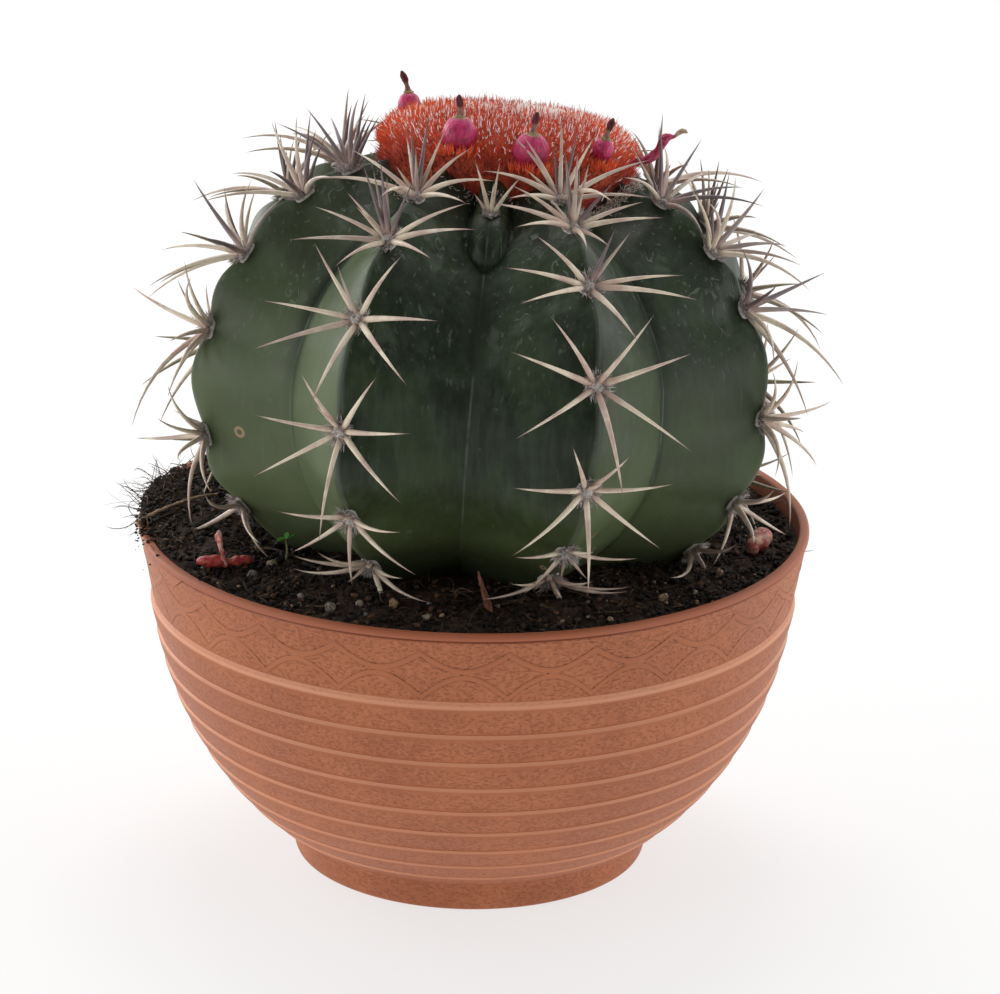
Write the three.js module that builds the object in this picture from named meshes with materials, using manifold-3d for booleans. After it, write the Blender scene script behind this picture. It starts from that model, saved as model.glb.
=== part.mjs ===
// A round melon cactus with its red woolly cap, growing in a ridged terracotta-coloured plastic bowl.
// Millimetres, +Z up, origin under the middle of the bowl's foot.
import * as THREE from "three";
import Module from "manifold-3d";
import { mergeVertices } from "three/addons/utils/BufferGeometryUtils.js";

const wasm = await Module();
wasm.setup();

// Driving dimensions: millimetres, and degrees for angles.
const gap = 0.35; // left between pieces that touch
const bowl = {
  height: 99.5,
  rimRadius: 95,
  lipWidth: 2.8,
  lipDepth: 1.6,
  wall: 2.4,
  floor: 3,
  footRadius: 50.8,
  footHeight: 8.5,
  bandBottom: 79.4,
  bandInset: 3.4,
  ridges: 9,
  ridgeStep: 0.9, // how far each ridge stands out over the one below it
  drainHoles: 4,
  drainRadius: 4,
  drainCircle: 30,
  footFlare: 0.6,
  edge: 0.5, // rounding of the lip's edges
  innerStations: 4, // divisions of the inner wall
  segments: 40,
};
const soilBed = {
  edgeLevel: 94.4,
  edgeGap: 1.7,
  bodyLevel: 98.5,
  bodyRadius: 60,
  surfaceRadii: [84, 76, 68, 58, 40],
  heapHeight: 6.5,
  heapAzimuth: -92,
  heapSpread: 42,
  heapFrom: 55, // the heap rises between these two radii
  heapTo: 80,
  segments: 36,
};
const plantCentre = [1, 0, 125.8];
const lean = { right: 3.9, back: 8.4 };
// The body's crest: its distance from the plant's centre at each angle above the waist.
const crestAngles = [-90, -60, -30, 0, 22, 50, 65, 78, 90];
const crestRadii = [50, 54, 66, 81.8, 87, 86, 82.5, 78.5, 77];
const valleyDepth = 0.15; // share of the radius
const valleyFade = [56, 78]; // angles between which the valleys run out below the cap
const crestRounding = 0.12;
const flankHollow = 0.13; // share of the valley's depth that flattens the flanks
const bulge = { share: 0.035, spacing: 18, narrowing: 1.5 }; // swelling between areoles 18 degrees apart
// Each rib: its azimuth (0 faces the front, + to the right) and the angles of its areoles.
const ribs = [
  { name: "left", azimuth: -68, areoles: [58, 48, 33, 18, -2, -18] },
  { name: "front_left", azimuth: -27, areoles: [54, 42, 26, 6, -12, -27] },
  { name: "front_right", azimuth: 20, areoles: [57, 49, 36, 18, -1, -16, -26] },
  { name: "right", azimuth: 65, areoles: [55, 42, 30, 10, -7, -20] },
  { name: "back_right", azimuth: 110, areoles: [56, 43, 28, 10, -9] },
  { name: "back_mid_right", azimuth: 155, areoles: [55, 43, 29, 13, -3] },
  { name: "back_mid_left", azimuth: 200, areoles: [57, 44, 30, 14, -3] },
  { name: "back_left", azimuth: 246, areoles: [55, 42, 27, 9, -10] },
];
const youngRib = { azimuth: -3.5, width: 8, from: 44, to: 57, filling: 0.7, areole: 56 };
const rowStep = 5; // degrees between two rows of the body's surface
const flankStations = [-1, -0.66, -0.3, 0, 0.3, 0.66]; // columns of one rib, from valley to valley
const cap = { offset: 1.4, baseLevel: 66, waistLevel: 78, radius: 36.4, shoulderLevel: 85.5, topLevel: 91 };
// One cluster: clock angle of each spine (0 points to the crown), its rise off the skin, its length.
const spinePattern = [
  { clock: -33, rise: 30, length: 22 },
  { clock: 33, rise: 30, length: 22 },
  { clock: -76, rise: 20, length: 25 },
  { clock: 80, rise: 20, length: 24 },
  { clock: -124, rise: 18, length: 27 },
  { clock: 130, rise: 18, length: 27 },
  { clock: 180, rise: 34, length: 32 },
  { clock: 12, rise: 62, length: 14 },
];
const youngPattern = [-140, -40, 40, 140].map((clock) => ({ clock, rise: 45, length: 9 }));
const spineVariation = { clock: 7, length: 0.1 }; // degrees, and share of the length
const shortestSpine = 7;
const shortening = 0.88; // one step in making a spine shorter
const steepest = 80; // highest rise of a spine, reached in steps
const riseStep = 6;
const clearance = { skin: 1.6, around: 1.2, fruit: 2, spine: 2 }; // kept free beside a spine
const lowAreole = -15; // below this angle the spines turn up, clear of the soil
const lowTurn = 0.68; // share of its clock angle that a low spine keeps
const pad = { length: 3, width: 2.4, height: 1.5, lift: 1.1, rimLevel: 1.6 };
// Ripe fruits stand in the cap: place beside the plant's axis, height of the middle, tilt outwards.
const fruits = [
  { x: -26.9, y: 19, z: 87.9, radius: 3.4, tilt: 8 },
  { x: -12.6, y: -32, z: 86, radius: 4.7, tilt: 6 },
  { x: 7, y: -35, z: 83.3, radius: 4.9, tilt: 10 },
  { x: 26.8, y: -26, z: 84.2, radius: 3.1, tilt: 12 },
];
const fruitOutline = { root: -5.5, crown: 3.6, collar: 1.1, tip: 8.8, tipRadius: 0.5 };
const driedFruit = { x: 37.4, y: -7.5, z: 78.6, radius: 1.9, length: 17.5, azimuth: 76, rise: 38 };
// Loose things on the soil: place of the middle, half sizes, turn about the vertical.
const fallenFruits = [
  { name: "fallen_fruit_left", x: -68, y: -43, half: [7.5, 2.3, 2], turn: 8 },
  { name: "fallen_fruit_right", x: 80, y: -14, half: [5, 3.2, 3], turn: 70 },
];
const woodChip = { x: 3, y: -70, width: 3.2, thickness: 1.4, height: 12, tilt: 16 };
const seedling = { x: -51.5, y: -38, stem: 0.5, height: 7, leaf: 1.7 };

const colours = {
  bowl: 0xc4835e,
  soil: 0x241b16,
  skin: 0x2f4a35,
  spine: 0xcdb99c,
  bristle: 0xa8402a,
  fruit: 0xc7265f,
  dried: 0x8a3330,
  bark: 0x6d3526,
  leaf: 0x3f7a35,
};

const rad = THREE.MathUtils.degToRad;

// ---- Solids: joining and cutting

function solidOf(geometry) {
  const bare = new THREE.BufferGeometry();
  bare.setAttribute("position", geometry.getAttribute("position"));
  bare.setIndex(geometry.index);
  const merged = mergeVertices(bare, 1e-4);
  const mesh = new wasm.Mesh({
    numProp: 3,
    vertProperties: merged.attributes.position.array,
    triVerts: merged.index.array,
  });
  return new wasm.Manifold(mesh);
}

function geometryOf(solid) {
  const mesh = solid.getMesh();
  const geometry = new THREE.BufferGeometry();
  geometry.setAttribute("position", new THREE.BufferAttribute(mesh.vertProperties, 3));
  geometry.setIndex(new THREE.BufferAttribute(mesh.triVerts, 1));
  return geometry;
}

// A profile of [radius, height] turned round the vertical axis.
function turned(profile, segments) {
  const points = profile.map(([r, z]) => new THREE.Vector2(r, z));
  return new THREE.LatheGeometry(points, segments).rotateX(Math.PI / 2);
}

// A closed surface from rings of points, with a pole at each end.
function ringSurface(bottomPole, rings, topPole) {
  const count = rings[0].length;
  const points = [bottomPole, ...rings.flat(), topPole];
  const top = points.length - 1;
  const index = [];
  for (let i = 0; i < count; i++) {
    const next = (i + 1) % count;
    index.push(0, 1 + next, 1 + i);
    for (let ring = 0; ring < rings.length - 1; ring++) {
      const low = 1 + ring * count;
      const high = low + count;
      index.push(low + i, low + next, high + next);
      index.push(low + i, high + next, high + i);
    }
    const last = 1 + (rings.length - 1) * count;
    index.push(top, last + i, last + next);
  }
  return new THREE.BufferGeometry().setFromPoints(points).setIndex(index);
}

function named(name, geometry, colour, roughness) {
  geometry.computeVertexNormals();
  const material = new THREE.MeshStandardMaterial({ color: colour, roughness, metalness: 0 });
  const mesh = new THREE.Mesh(geometry, material);
  mesh.name = name;
  return mesh;
}

// ---- The bowl and what fills it

const bowlCurve = new THREE.CubicBezierCurve(
  new THREE.Vector2(bowl.footRadius + 2.2, bowl.footHeight),
  new THREE.Vector2(74, 22),
  new THREE.Vector2(89, 50),
  new THREE.Vector2(bowl.rimRadius - bowl.bandInset, bowl.bandBottom - 1.4),
);

function bowlOutside() {
  const stations = bowlCurve.getSpacedPoints(bowl.ridges);
  const outline = [];
  for (let i = 0; i < bowl.ridges; i++) {
    const low = stations[i];
    const high = stations[i + 1];
    outline.push([low.x - bowl.ridgeStep, low.y + bowl.edge]);
    outline.push([high.x, high.y]);
  }
  return outline;
}

// The inner wall, drawn in from the outer one by the wall's thickness and a further inset.
function bowlInside(inset) {
  const stations = bowlCurve.getSpacedPoints(bowl.innerStations);
  const outline = [[bowl.footRadius - bowl.wall - inset, bowl.floor + inset]];
  for (const station of stations) {
    outline.push([station.x - bowl.wall - bowl.ridgeStep - inset, station.y + bowl.wall / 2 + inset]);
  }
  return outline;
}

function makeBowl() {
  const lipTop = bowl.height;
  const lipInner = bowl.rimRadius - bowl.lipWidth;
  const profile = [
    [0, 0],
    [bowl.footRadius, 0],
    [bowl.footRadius + bowl.footFlare, bowl.footHeight],
    ...bowlOutside(),
    [bowl.rimRadius - bowl.bandInset, bowl.bandBottom],
    [bowl.rimRadius - bowl.edge, lipTop - bowl.lipDepth],
    [bowl.rimRadius, lipTop - bowl.lipDepth],
    [bowl.rimRadius - bowl.edge, lipTop - bowl.edge],
    [bowl.rimRadius - 2 * bowl.edge, lipTop],
    [lipInner + bowl.edge, lipTop],
    [lipInner, lipTop - bowl.edge],
    ...bowlInside(0).reverse(),
    [0, bowl.floor],
  ];
  let solid = solidOf(turned(profile, bowl.segments));
  for (let i = 0; i < bowl.drainHoles; i++) {
    const angle = (i / bowl.drainHoles) * Math.PI * 2 + Math.PI / 4;
    const hole = new THREE.CylinderGeometry(bowl.drainRadius, bowl.drainRadius, 4 * bowl.floor);
    hole.rotateX(Math.PI / 2);
    hole.translate(bowl.drainCircle * Math.cos(angle), bowl.drainCircle * Math.sin(angle), 0);
    solid = solid.subtract(solidOf(hole));
  }
  return geometryOf(solid);
}

function azimuthOf(x, y) {
  return THREE.MathUtils.radToDeg(Math.atan2(x, -y));
}

function turnBetween(a, b) {
  return THREE.MathUtils.euclideanModulo(a - b + 180, 360) - 180;
}

// Height of the soil's surface at a place in the bowl.
function soilLevel(x, y) {
  const radius = Math.hypot(x, y);
  const towardsBody = 1 - THREE.MathUtils.smoothstep(radius, soilBed.bodyRadius, bowl.rimRadius - 10);
  const offHeap = turnBetween(azimuthOf(x, y), soilBed.heapAzimuth) / soilBed.heapSpread;
  const climb = THREE.MathUtils.smoothstep(radius, soilBed.heapFrom, soilBed.heapTo);
  const heap = Math.exp(-offHeap * offHeap) * climb;
  const base = soilBed.edgeLevel + (soilBed.bodyLevel - soilBed.edgeLevel) * towardsBody;
  return base + soilBed.heapHeight * heap;
}

function makeSoil(plantBody) {
  const outer = bowl.rimRadius - bowl.lipWidth - soilBed.edgeGap;
  const inside = bowlInside(gap);
  const surface = [outer, ...soilBed.surfaceRadii, 0].map((r) => [r, bowl.height]);
  const profile = [[0, bowl.floor + gap], ...inside, ...surface];
  const geometry = turned(profile, soilBed.segments);
  const position = geometry.getAttribute("position");
  for (let i = 0; i < position.count; i++) {
    if (position.getZ(i) > bowl.height - gap) {
      position.setZ(i, soilLevel(position.getX(i), position.getY(i)));
    }
  }
  return geometryOf(solidOf(geometry).subtract(plantBody));
}

// ---- The ribbed body, about the plant's own centre

const crest = new THREE.CubicInterpolant(crestAngles, crestRadii, 1);

function crestRadius(angle) {
  return crest.evaluate(angle)[0];
}

// The rib that an azimuth belongs to, and how far out on its flank: 0 on the crest, 1 in the valley.
function ribAt(azimuth) {
  let nearest = { flank: Infinity };
  ribs.forEach((rib, i) => {
    const turn = turnBetween(azimuth, rib.azimuth);
    const neighbour = ribs[(i + (turn >= 0 ? 1 : ribs.length - 1)) % ribs.length];
    const half = Math.abs(turnBetween(neighbour.azimuth, rib.azimuth)) / 2;
    const flank = Math.abs(turn) / half;
    if (flank < nearest.flank) nearest = { rib, flank };
  });
  return nearest;
}

// The crest swells midway between two areoles, less where they stand close.
function swell(areoles, angle) {
  const lower = areoles.findIndex((areole) => areole < angle);
  if (lower < 1) return 0;
  const spacing = areoles[lower - 1] - areoles[lower];
  const wave = Math.sin((Math.PI * (areoles[lower - 1] - angle)) / spacing) ** 2;
  return bulge.share * Math.min(1, spacing / bulge.spacing) * wave;
}

function skinRadius(angle, azimuth) {
  const { rib, flank } = ribAt(azimuth);
  const depth = valleyDepth * (1 - THREE.MathUtils.smoothstep(angle, ...valleyFade));
  const rounded = Math.hypot(flank, crestRounding) - crestRounding;
  const wedge = rounded / (Math.hypot(1, crestRounding) - crestRounding);
  const fall = wedge + flankHollow * Math.sin(Math.PI * Math.min(flank, 1));
  const off = Math.abs(turnBetween(azimuth, youngRib.azimuth)) / youngRib.width;
  const young = THREE.MathUtils.smoothstep(angle, youngRib.from, youngRib.to) * Math.max(0, 1 - off);
  const swelling = swell(rib.areoles, angle) * (1 - Math.min(flank, 1)) ** bulge.narrowing;
  return crestRadius(angle) * (1 - depth * fall * (1 - youngRib.filling * young) + swelling);
}

function inBody(angle, azimuth, radius) {
  const out = radius * Math.cos(rad(angle));
  const up = radius * Math.sin(rad(angle));
  return new THREE.Vector3(out * Math.sin(rad(azimuth)), -out * Math.cos(rad(azimuth)), up);
}

// The body's surface, moved outwards by grow.
function bodySurface(grow) {
  const columns = [];
  ribs.forEach((rib, i) => {
    const before = ribs[(i + ribs.length - 1) % ribs.length];
    const after = ribs[(i + 1) % ribs.length];
    for (const station of flankStations) {
      const neighbour = station < 0 ? before : after;
      const half = Math.abs(turnBetween(neighbour.azimuth, rib.azimuth)) / 2;
      columns.push(rib.azimuth + station * half);
    }
  });
  const rings = [];
  for (let angle = -90 + rowStep; angle < 90; angle += rowStep) {
    rings.push(columns.map((azimuth) => inBody(angle, azimuth, skinRadius(angle, azimuth) + grow)));
  }
  const bottom = new THREE.Vector3(0, 0, -crestRadius(-90) - grow);
  const top = new THREE.Vector3(0, 0, crestRadius(90) + grow);
  return ringSurface(bottom, rings, top);
}

// ---- The cap and its fruits

function fruitProfile(radius, grow) {
  const { root, crown, collar, tip, tipRadius } = fruitOutline;
  return [
    [0, root - grow],
    [radius * 0.55 + grow, root + 0.6 - grow],
    [radius * 0.95 + grow, -1.6],
    [radius + grow, 0.6],
    [radius * 0.72 + grow, crown - 0.8],
    [collar + grow, crown + grow],
    [collar * 0.7 + grow, crown + 2],
    [tipRadius + grow, tip],
    [0, tip + grow],
  ];
}

function placeFruit(geometry, fruit) {
  const outwards = rad(azimuthOf(fruit.x - cap.offset, fruit.y));
  geometry.rotateX(rad(fruit.tilt));
  geometry.rotateZ(outwards);
  return geometry.translate(fruit.x, fruit.y, fruit.z);
}

function makeFruit(fruit, grow) {
  return placeFruit(turned(fruitProfile(fruit.radius, grow), 10), fruit);
}

// A shrivelled fruit that hangs out of the cap's side, as a bent tapering stalk.
function makeDriedFruit(grow) {
  const { x, y, z, radius, length, azimuth, rise } = driedFruit;
  const profile = [
    [0, -grow],
    [radius * 0.5 + grow, 0],
    [radius * 0.7 + grow, length * 0.3],
    [radius + grow, length * 0.6],
    [radius * 0.4 + grow, length * 0.85],
    [0, length + grow],
  ];
  const geometry = turned(profile, 8);
  geometry.rotateX(rad(90 - rise));
  geometry.rotateZ(rad(azimuth));
  return geometry.translate(x, y, z);
}

function makeCap(plantBody) {
  const profile = [
    [0, cap.baseLevel],
    [cap.radius - 3, cap.baseLevel],
    [cap.radius, cap.waistLevel],
    [cap.radius - 0.5, cap.shoulderLevel - 2.5],
    [cap.radius - 4, cap.shoulderLevel + 1],
    [cap.radius * 0.5, cap.topLevel - 1],
    [0, cap.topLevel],
  ];
  let solid = solidOf(turned(profile, 32).translate(cap.offset, 0, 0)).subtract(plantBody);
  for (const fruit of fruits) solid = solid.subtract(solidOf(makeFruit(fruit, gap)));
  return geometryOf(solid.subtract(solidOf(makeDriedFruit(gap))));
}

// ---- Spine clusters

const plant = new THREE.Group();
plant.position.set(...plantCentre);
plant.rotation.set(-rad(lean.back), rad(lean.right), 0, "YXZ");
plant.updateMatrix();

function hitsCap(point) {
  const out = Math.hypot(point.x - cap.offset, point.y);
  const high = point.z > cap.baseLevel && point.z < cap.topLevel + clearance.around;
  return high && out < cap.radius + clearance.around;
}

function hitsFruit(point) {
  return fruits.some((fruit) => point.distanceTo(fruit) < fruit.radius + clearance.fruit);
}

function hitsBowl(point) {
  const place = point.clone().applyMatrix4(plant.matrix);
  const radius = Math.hypot(place.x, place.y);
  const overLip = radius > bowl.rimRadius - 2 * bowl.lipWidth;
  const level = Math.max(soilLevel(place.x, place.y), overLip ? bowl.height : 0);
  return radius < bowl.rimRadius + clearance.around && place.z < level + clearance.around;
}

function insideSkin(point) {
  const radius = point.length();
  const angle = THREE.MathUtils.radToDeg(Math.asin(point.z / radius));
  return radius < skinRadius(angle, azimuthOf(point.x, point.y)) + clearance.skin;
}

function alongSpine(spine, share) {
  return spine.from.clone().addScaledVector(spine.direction, spine.length * share);
}

// Points from a quarter of the spine's length out to its tip.
function outerPoints(spine) {
  return [0.25, 0.4, 0.55, 0.7, 0.85, 1].map((share) => alongSpine(spine, share));
}

function leavesSkin(spine) {
  return outerPoints(spine).every((point) => !insideSkin(point));
}

function isFree(spine, others) {
  const points = outerPoints(spine);
  if (points.some((point) => hitsCap(point) || hitsBowl(point) || hitsFruit(point))) return false;
  const closest = new THREE.Vector3();
  return others.every((other) => {
    const line = new THREE.Line3(other.from, alongSpine(other, 1));
    return points.every((point) => {
      line.closestPointToPoint(point, true, closest);
      return closest.distanceTo(point) > clearance.spine;
    });
  });
}

// Raise the spine until it leaves the skin, then shorten it until it is clear of its neighbours.
function settleSpine(frame, shape, others) {
  const from = new THREE.Vector3(0, 0, pad.rimLevel).applyMatrix4(frame);
  let spine;
  for (let rise = shape.rise; rise < steepest; rise += riseStep) {
    const flat = Math.cos(rad(rise));
    const local = new THREE.Vector3(
      flat * Math.sin(rad(shape.clock)),
      flat * Math.cos(rad(shape.clock)),
      Math.sin(rad(rise)),
    );
    spine = { from, direction: local.transformDirection(frame), length: shape.length };
    if (!leavesSkin(spine)) continue;
    while (spine.length > shortestSpine && !isFree(spine, others)) spine.length *= shortening;
    if (isFree(spine, others)) return spine;
  }
  return { ...spine, length: pad.length };
}

// The frame of an areole: x round the body, y up the rib towards the crown, z out of the skin.
function areoleFrame(angle, azimuth) {
  const base = (a) => inBody(a, azimuth, skinRadius(angle, azimuth) + crestRadius(a) - crestRadius(angle));
  const upRib = base(angle + 1).sub(base(angle - 1)).normalize();
  const round = new THREE.Vector3(Math.cos(rad(azimuth)), Math.sin(rad(azimuth)), 0);
  const out = new THREE.Vector3().crossVectors(round, upRib).normalize();
  const frame = new THREE.Matrix4().makeBasis(round, upRib, out);
  return frame.setPosition(base(angle));
}

// A woolly pad with one spine drawn out of each of its sectors, in clock order.
function makeCluster(angle, azimuth, number, shapes, others) {
  const frame = areoleFrame(angle, azimuth);
  const turn = angle < lowAreole ? lowTurn : 1;
  const varied = shapes.map((shape, i) => ({
    clock: shape.clock * turn + spineVariation.clock * Math.sin(number * 2.1 + i * 1.7),
    rise: shape.rise,
    length: shape.length * (1 + spineVariation.length * Math.cos(number * 1.3 + i)),
  }));
  varied.sort((a, b) => a.clock - b.clock);
  const spines = varied.map((shape) => settleSpine(frame, shape, others));
  const rim = varied.map((shape, i) => {
    const before = varied[(i + varied.length - 1) % varied.length];
    const between = THREE.MathUtils.euclideanModulo(shape.clock - before.clock, 360);
    const clock = rad(shape.clock - between / 2);
    return new THREE.Vector3(pad.width * Math.sin(clock), pad.length * Math.cos(clock), pad.rimLevel);
  });
  const middles = [new THREE.Vector3(0, 0, pad.lift), new THREE.Vector3(0, 0, pad.lift + pad.height)];
  const base = [...middles, ...rim].map((point) => point.applyMatrix4(frame));
  const tips = spines.map((spine) => alongSpine(spine, 1));
  const count = rim.length;
  const index = [];
  for (let i = 0; i < count; i++) {
    const [under, top, near, far, tip] = [0, 1, 2 + i, 2 + ((i + 1) % count), 2 + count + i];
    index.push(under, near, far, top, far, tip, far, near, tip, near, top, tip);
  }
  others.push(...spines);
  return new THREE.BufferGeometry().setFromPoints([...base, ...tips]).setIndex(index);
}

function addClusters(group) {
  const others = [];
  let number = 0;
  const place = (name, angle, azimuth, shapes) => {
    const geometry = makeCluster(angle, azimuth, number, shapes, others);
    group.add(named(name, geometry, colours.spine, 0.6));
    number += 1;
  };
  for (const rib of ribs) {
    rib.areoles.forEach((angle, i) => {
      place(`spines_${rib.name}_${i + 1}`, angle, rib.azimuth, spinePattern);
    });
  }
  place("spines_young_1", youngRib.areole, youngRib.azimuth, youngPattern);
}

// ---- Loose things on the soil

function makeFallenFruit({ x, y, half, turn }) {
  const geometry = new THREE.SphereGeometry(1, 10, 6).rotateX(Math.PI / 2);
  geometry.scale(...half).rotateZ(rad(turn));
  return geometry.translate(x, y, soilLevel(x, y) + half[2] + 2 * gap);
}

function makeWoodChip() {
  const { x, y, width, thickness, height, tilt } = woodChip;
  const outline = new THREE.Shape();
  outline.moveTo(-width / 2, 0);
  outline.lineTo(width / 2, 0);
  outline.lineTo(width / 3, height * 0.8);
  outline.lineTo(-width / 4, height);
  outline.closePath();
  const geometry = new THREE.ExtrudeGeometry(outline, { depth: thickness, bevelEnabled: false });
  geometry.rotateX(Math.PI / 2).rotateY(-rad(tilt));
  return geometry.translate(x, y, soilLevel(x, y) + 4 * gap);
}

function makeSeedling() {
  const { x, y, stem, height, leaf } = seedling;
  const profile = [
    [0, 0],
    [stem, 0],
    [stem, height - leaf],
    [leaf, height - leaf / 2],
    [stem, height],
    [0, height],
  ];
  return turned(profile, 8).translate(x, y, soilLevel(x, y) + 2 * gap);
}

// ---- The whole object

const object = new THREE.Group();
object.add(named("pot", makeBowl(), colours.bowl, 0.6));

const grownBody = solidOf(bodySurface(gap));
const grownBodyInPlace = solidOf(bodySurface(gap).applyMatrix4(plant.matrix));
object.add(named("soil", makeSoil(grownBodyInPlace), colours.soil, 0.95));

plant.add(named("cactus_body", bodySurface(0), colours.skin, 0.45));
plant.add(named("cephalium", makeCap(grownBody), colours.bristle, 0.9));
fruits.forEach((fruit, i) => {
  plant.add(named(`fruit_${i + 1}`, makeFruit(fruit, 0), colours.fruit, 0.3));
});
plant.add(named("dried_fruit", makeDriedFruit(0), colours.dried, 0.6));
addClusters(plant);
object.add(plant);

for (const fallen of fallenFruits) {
  object.add(named(fallen.name, makeFallenFruit(fallen), colours.dried, 0.6));
}
object.add(named("wood_chip", makeWoodChip(), colours.bark, 0.85));
object.add(named("seedling", makeSeedling(), colours.leaf, 0.5));

export default object;
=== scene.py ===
import math
import random

import bmesh
import bpy
import numpy as np
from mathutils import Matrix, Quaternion, Vector


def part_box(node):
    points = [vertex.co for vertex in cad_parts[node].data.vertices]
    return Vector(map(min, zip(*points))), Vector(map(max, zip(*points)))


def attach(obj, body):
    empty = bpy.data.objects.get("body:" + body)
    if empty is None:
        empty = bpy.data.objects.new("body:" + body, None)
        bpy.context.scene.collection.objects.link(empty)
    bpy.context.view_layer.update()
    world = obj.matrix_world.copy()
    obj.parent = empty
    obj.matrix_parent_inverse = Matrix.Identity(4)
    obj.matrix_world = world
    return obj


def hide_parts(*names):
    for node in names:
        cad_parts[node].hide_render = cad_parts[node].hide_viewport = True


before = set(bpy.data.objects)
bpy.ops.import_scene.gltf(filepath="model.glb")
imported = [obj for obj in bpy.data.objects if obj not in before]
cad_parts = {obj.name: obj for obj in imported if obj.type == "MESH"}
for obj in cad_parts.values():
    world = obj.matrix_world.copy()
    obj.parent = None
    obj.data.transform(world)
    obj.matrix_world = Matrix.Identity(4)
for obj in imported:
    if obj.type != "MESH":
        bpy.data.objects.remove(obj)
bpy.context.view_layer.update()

mm = 0.001
root = "root"


# ---- camera first, so the framing is settled before anything is made
cameraSet = {
    "distance": 1.169,  # from the pivot on the bowl's axis, metres
    "pivotHeight": 0.080,
    "elevation": 20.42,  # degrees above the horizon
    "aim": (0.0073, 0.0083, 0.1022),
    "roll": 0.98,
    "lens": 147.4,
}


def makeCamera(c):
    tilt = math.radians(c["elevation"])
    place = Vector((0, -math.cos(tilt), math.sin(tilt))) * c["distance"]
    place.z += c["pivotHeight"]
    camera = bpy.data.objects.new("camera", bpy.data.cameras.new("camera"))
    camera.data.lens = c["lens"]
    camera.data.clip_end = 50
    camera.location = place
    look = (Vector(c["aim"]) - place).to_track_quat("-Z", "Y")
    camera.rotation_mode = "QUATERNION"
    camera.rotation_quaternion = look @ Quaternion((0, 0, 1), math.radians(c["roll"]))
    bpy.context.collection.objects.link(camera)
    bpy.context.scene.camera = camera


makeCamera(cameraSet)
print("camera placed")


# small helpers for meshes
def smoothstep(x, low, high):
    t = np.clip((np.asarray(x, float) - low) / (high - low), 0, 1)
    return t * t * (3 - 2 * t)


def addMesh(name, points, faces, values=None, smooth=True):
    name = name.replace(" ", "_")
    mesh = bpy.data.meshes.new(name)
    mesh.from_pydata(np.asarray(points).tolist(), [], faces)
    for key, numbers in (values or {}).items():
        layer = mesh.attributes.new(key, "FLOAT", "POINT")
        layer.data.foreach_set("value", np.asarray(numbers, np.float32).ravel())
    mesh.polygons.foreach_set("use_smooth", [smooth] * len(mesh.polygons))
    mesh.update()
    piece = bpy.data.objects.new(name, mesh)
    bpy.context.collection.objects.link(piece)
    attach(piece, root)
    return piece


# quads between rows of points, each row closed on itself; the ends are closed with a polygon
def rowFaces(rows, columns, capLow=True, capHigh=True):
    faces = []
    for low in range(0, (rows - 1) * columns, columns):
        for i in range(columns):
            j = (i + 1) % columns
            faces.append((low + i, low + j, low + columns + j, low + columns + i))
    if capLow:
        faces.append(tuple(reversed(range(columns))))
    if capHigh:
        faces.append(tuple((rows - 1) * columns + i for i in range(columns)))
    return faces


# the same with a fan of triangles at each end, round two points added after the rows
def fannedFaces(rows, columns):
    low = rows * columns
    last = low - columns
    faces = rowFaces(rows, columns, False, False)
    faces += [(low, (i + 1) % columns, i) for i in range(columns)]
    faces += [(low + 1, last + i, last + (i + 1) % columns) for i in range(columns)]
    return faces


# one value for each point of a grid, and one for each of the two points after it
def endedBy(grid, ends=(0, 0)):
    return np.append(np.reshape(grid, -1), ends)


# a profile of (radius, height) turned round the upright axis
def turnProfile(profile, columns):
    profile = np.asarray(profile, float)
    angles = np.linspace(0, 2 * np.pi, columns, endpoint=False)
    r, z = profile[:, :1], profile[:, 1:]
    return np.stack([r * np.sin(angles), -r * np.cos(angles), z + 0 * angles], -1)


def unit(v):
    return v / np.maximum(np.linalg.norm(v, axis=-1, keepdims=True), 1e-12)


# many curved tapering needles in one mesh: spines, bristles, wool and fibres
def addNeedles(name, start, way, bow, length, thick, tone, sides=3, rings=3, taper=0.4, neck=0):
    count = len(start)
    way, bow, length = unit(np.asarray(way)), np.asarray(bow), np.asarray(length)
    steps = np.linspace(0, 1, rings + 1)[:-1]
    shape = (1 - steps) ** taper * (1 - neck * np.clip(1 - steps / 0.15, 0, 1))
    spare = np.where(np.abs(way[:, 2:]) > 0.9, [[1.0, 0, 0]], [[0, 0, 1.0]])
    across = unit(np.cross(way, spare))
    up = np.cross(way, across)
    along = steps[None, :, None]
    centre = start[:, None] + length[:, None, None] * (
        way[:, None] * along + bow[:, None] * 4 * along * (1 - along)
    )
    tip = start + length[:, None] * way
    turn = np.arange(sides) / sides * 2 * np.pi
    ring = (
        across[:, None, None] * np.cos(turn)[None, None, :, None]
        + up[:, None, None] * np.sin(turn)[None, None, :, None]
    )
    radius = np.broadcast_to(thick, count)[:, None] * shape[None]
    points = centre[:, :, None] + ring * radius[:, :, None, None]
    perNeedle = rings * sides + 1
    points = np.concatenate([points.reshape(count, -1, 3), tip[:, None]], 1).reshape(-1, 3)
    faces = []
    for k in range(count):
        base = k * perNeedle
        for r in range(rings - 1):
            for s in range(sides):
                t = (s + 1) % sides
                low = base + r * sides
                faces.append((low + s, low + t, low + sides + t, low + sides + s))
        last = base + (rings - 1) * sides
        for s in range(sides):
            faces.append((last + s, last + (s + 1) % sides, base + rings * sides))
        faces.append(tuple(base + s for s in reversed(range(sides))))
    alongValues = np.tile(np.append(np.repeat(steps, sides), 1.0), count)
    toneValues = np.repeat(tone, perNeedle)
    return addMesh(name, points, faces, {"along": alongValues, "tone": toneValues})


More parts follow.
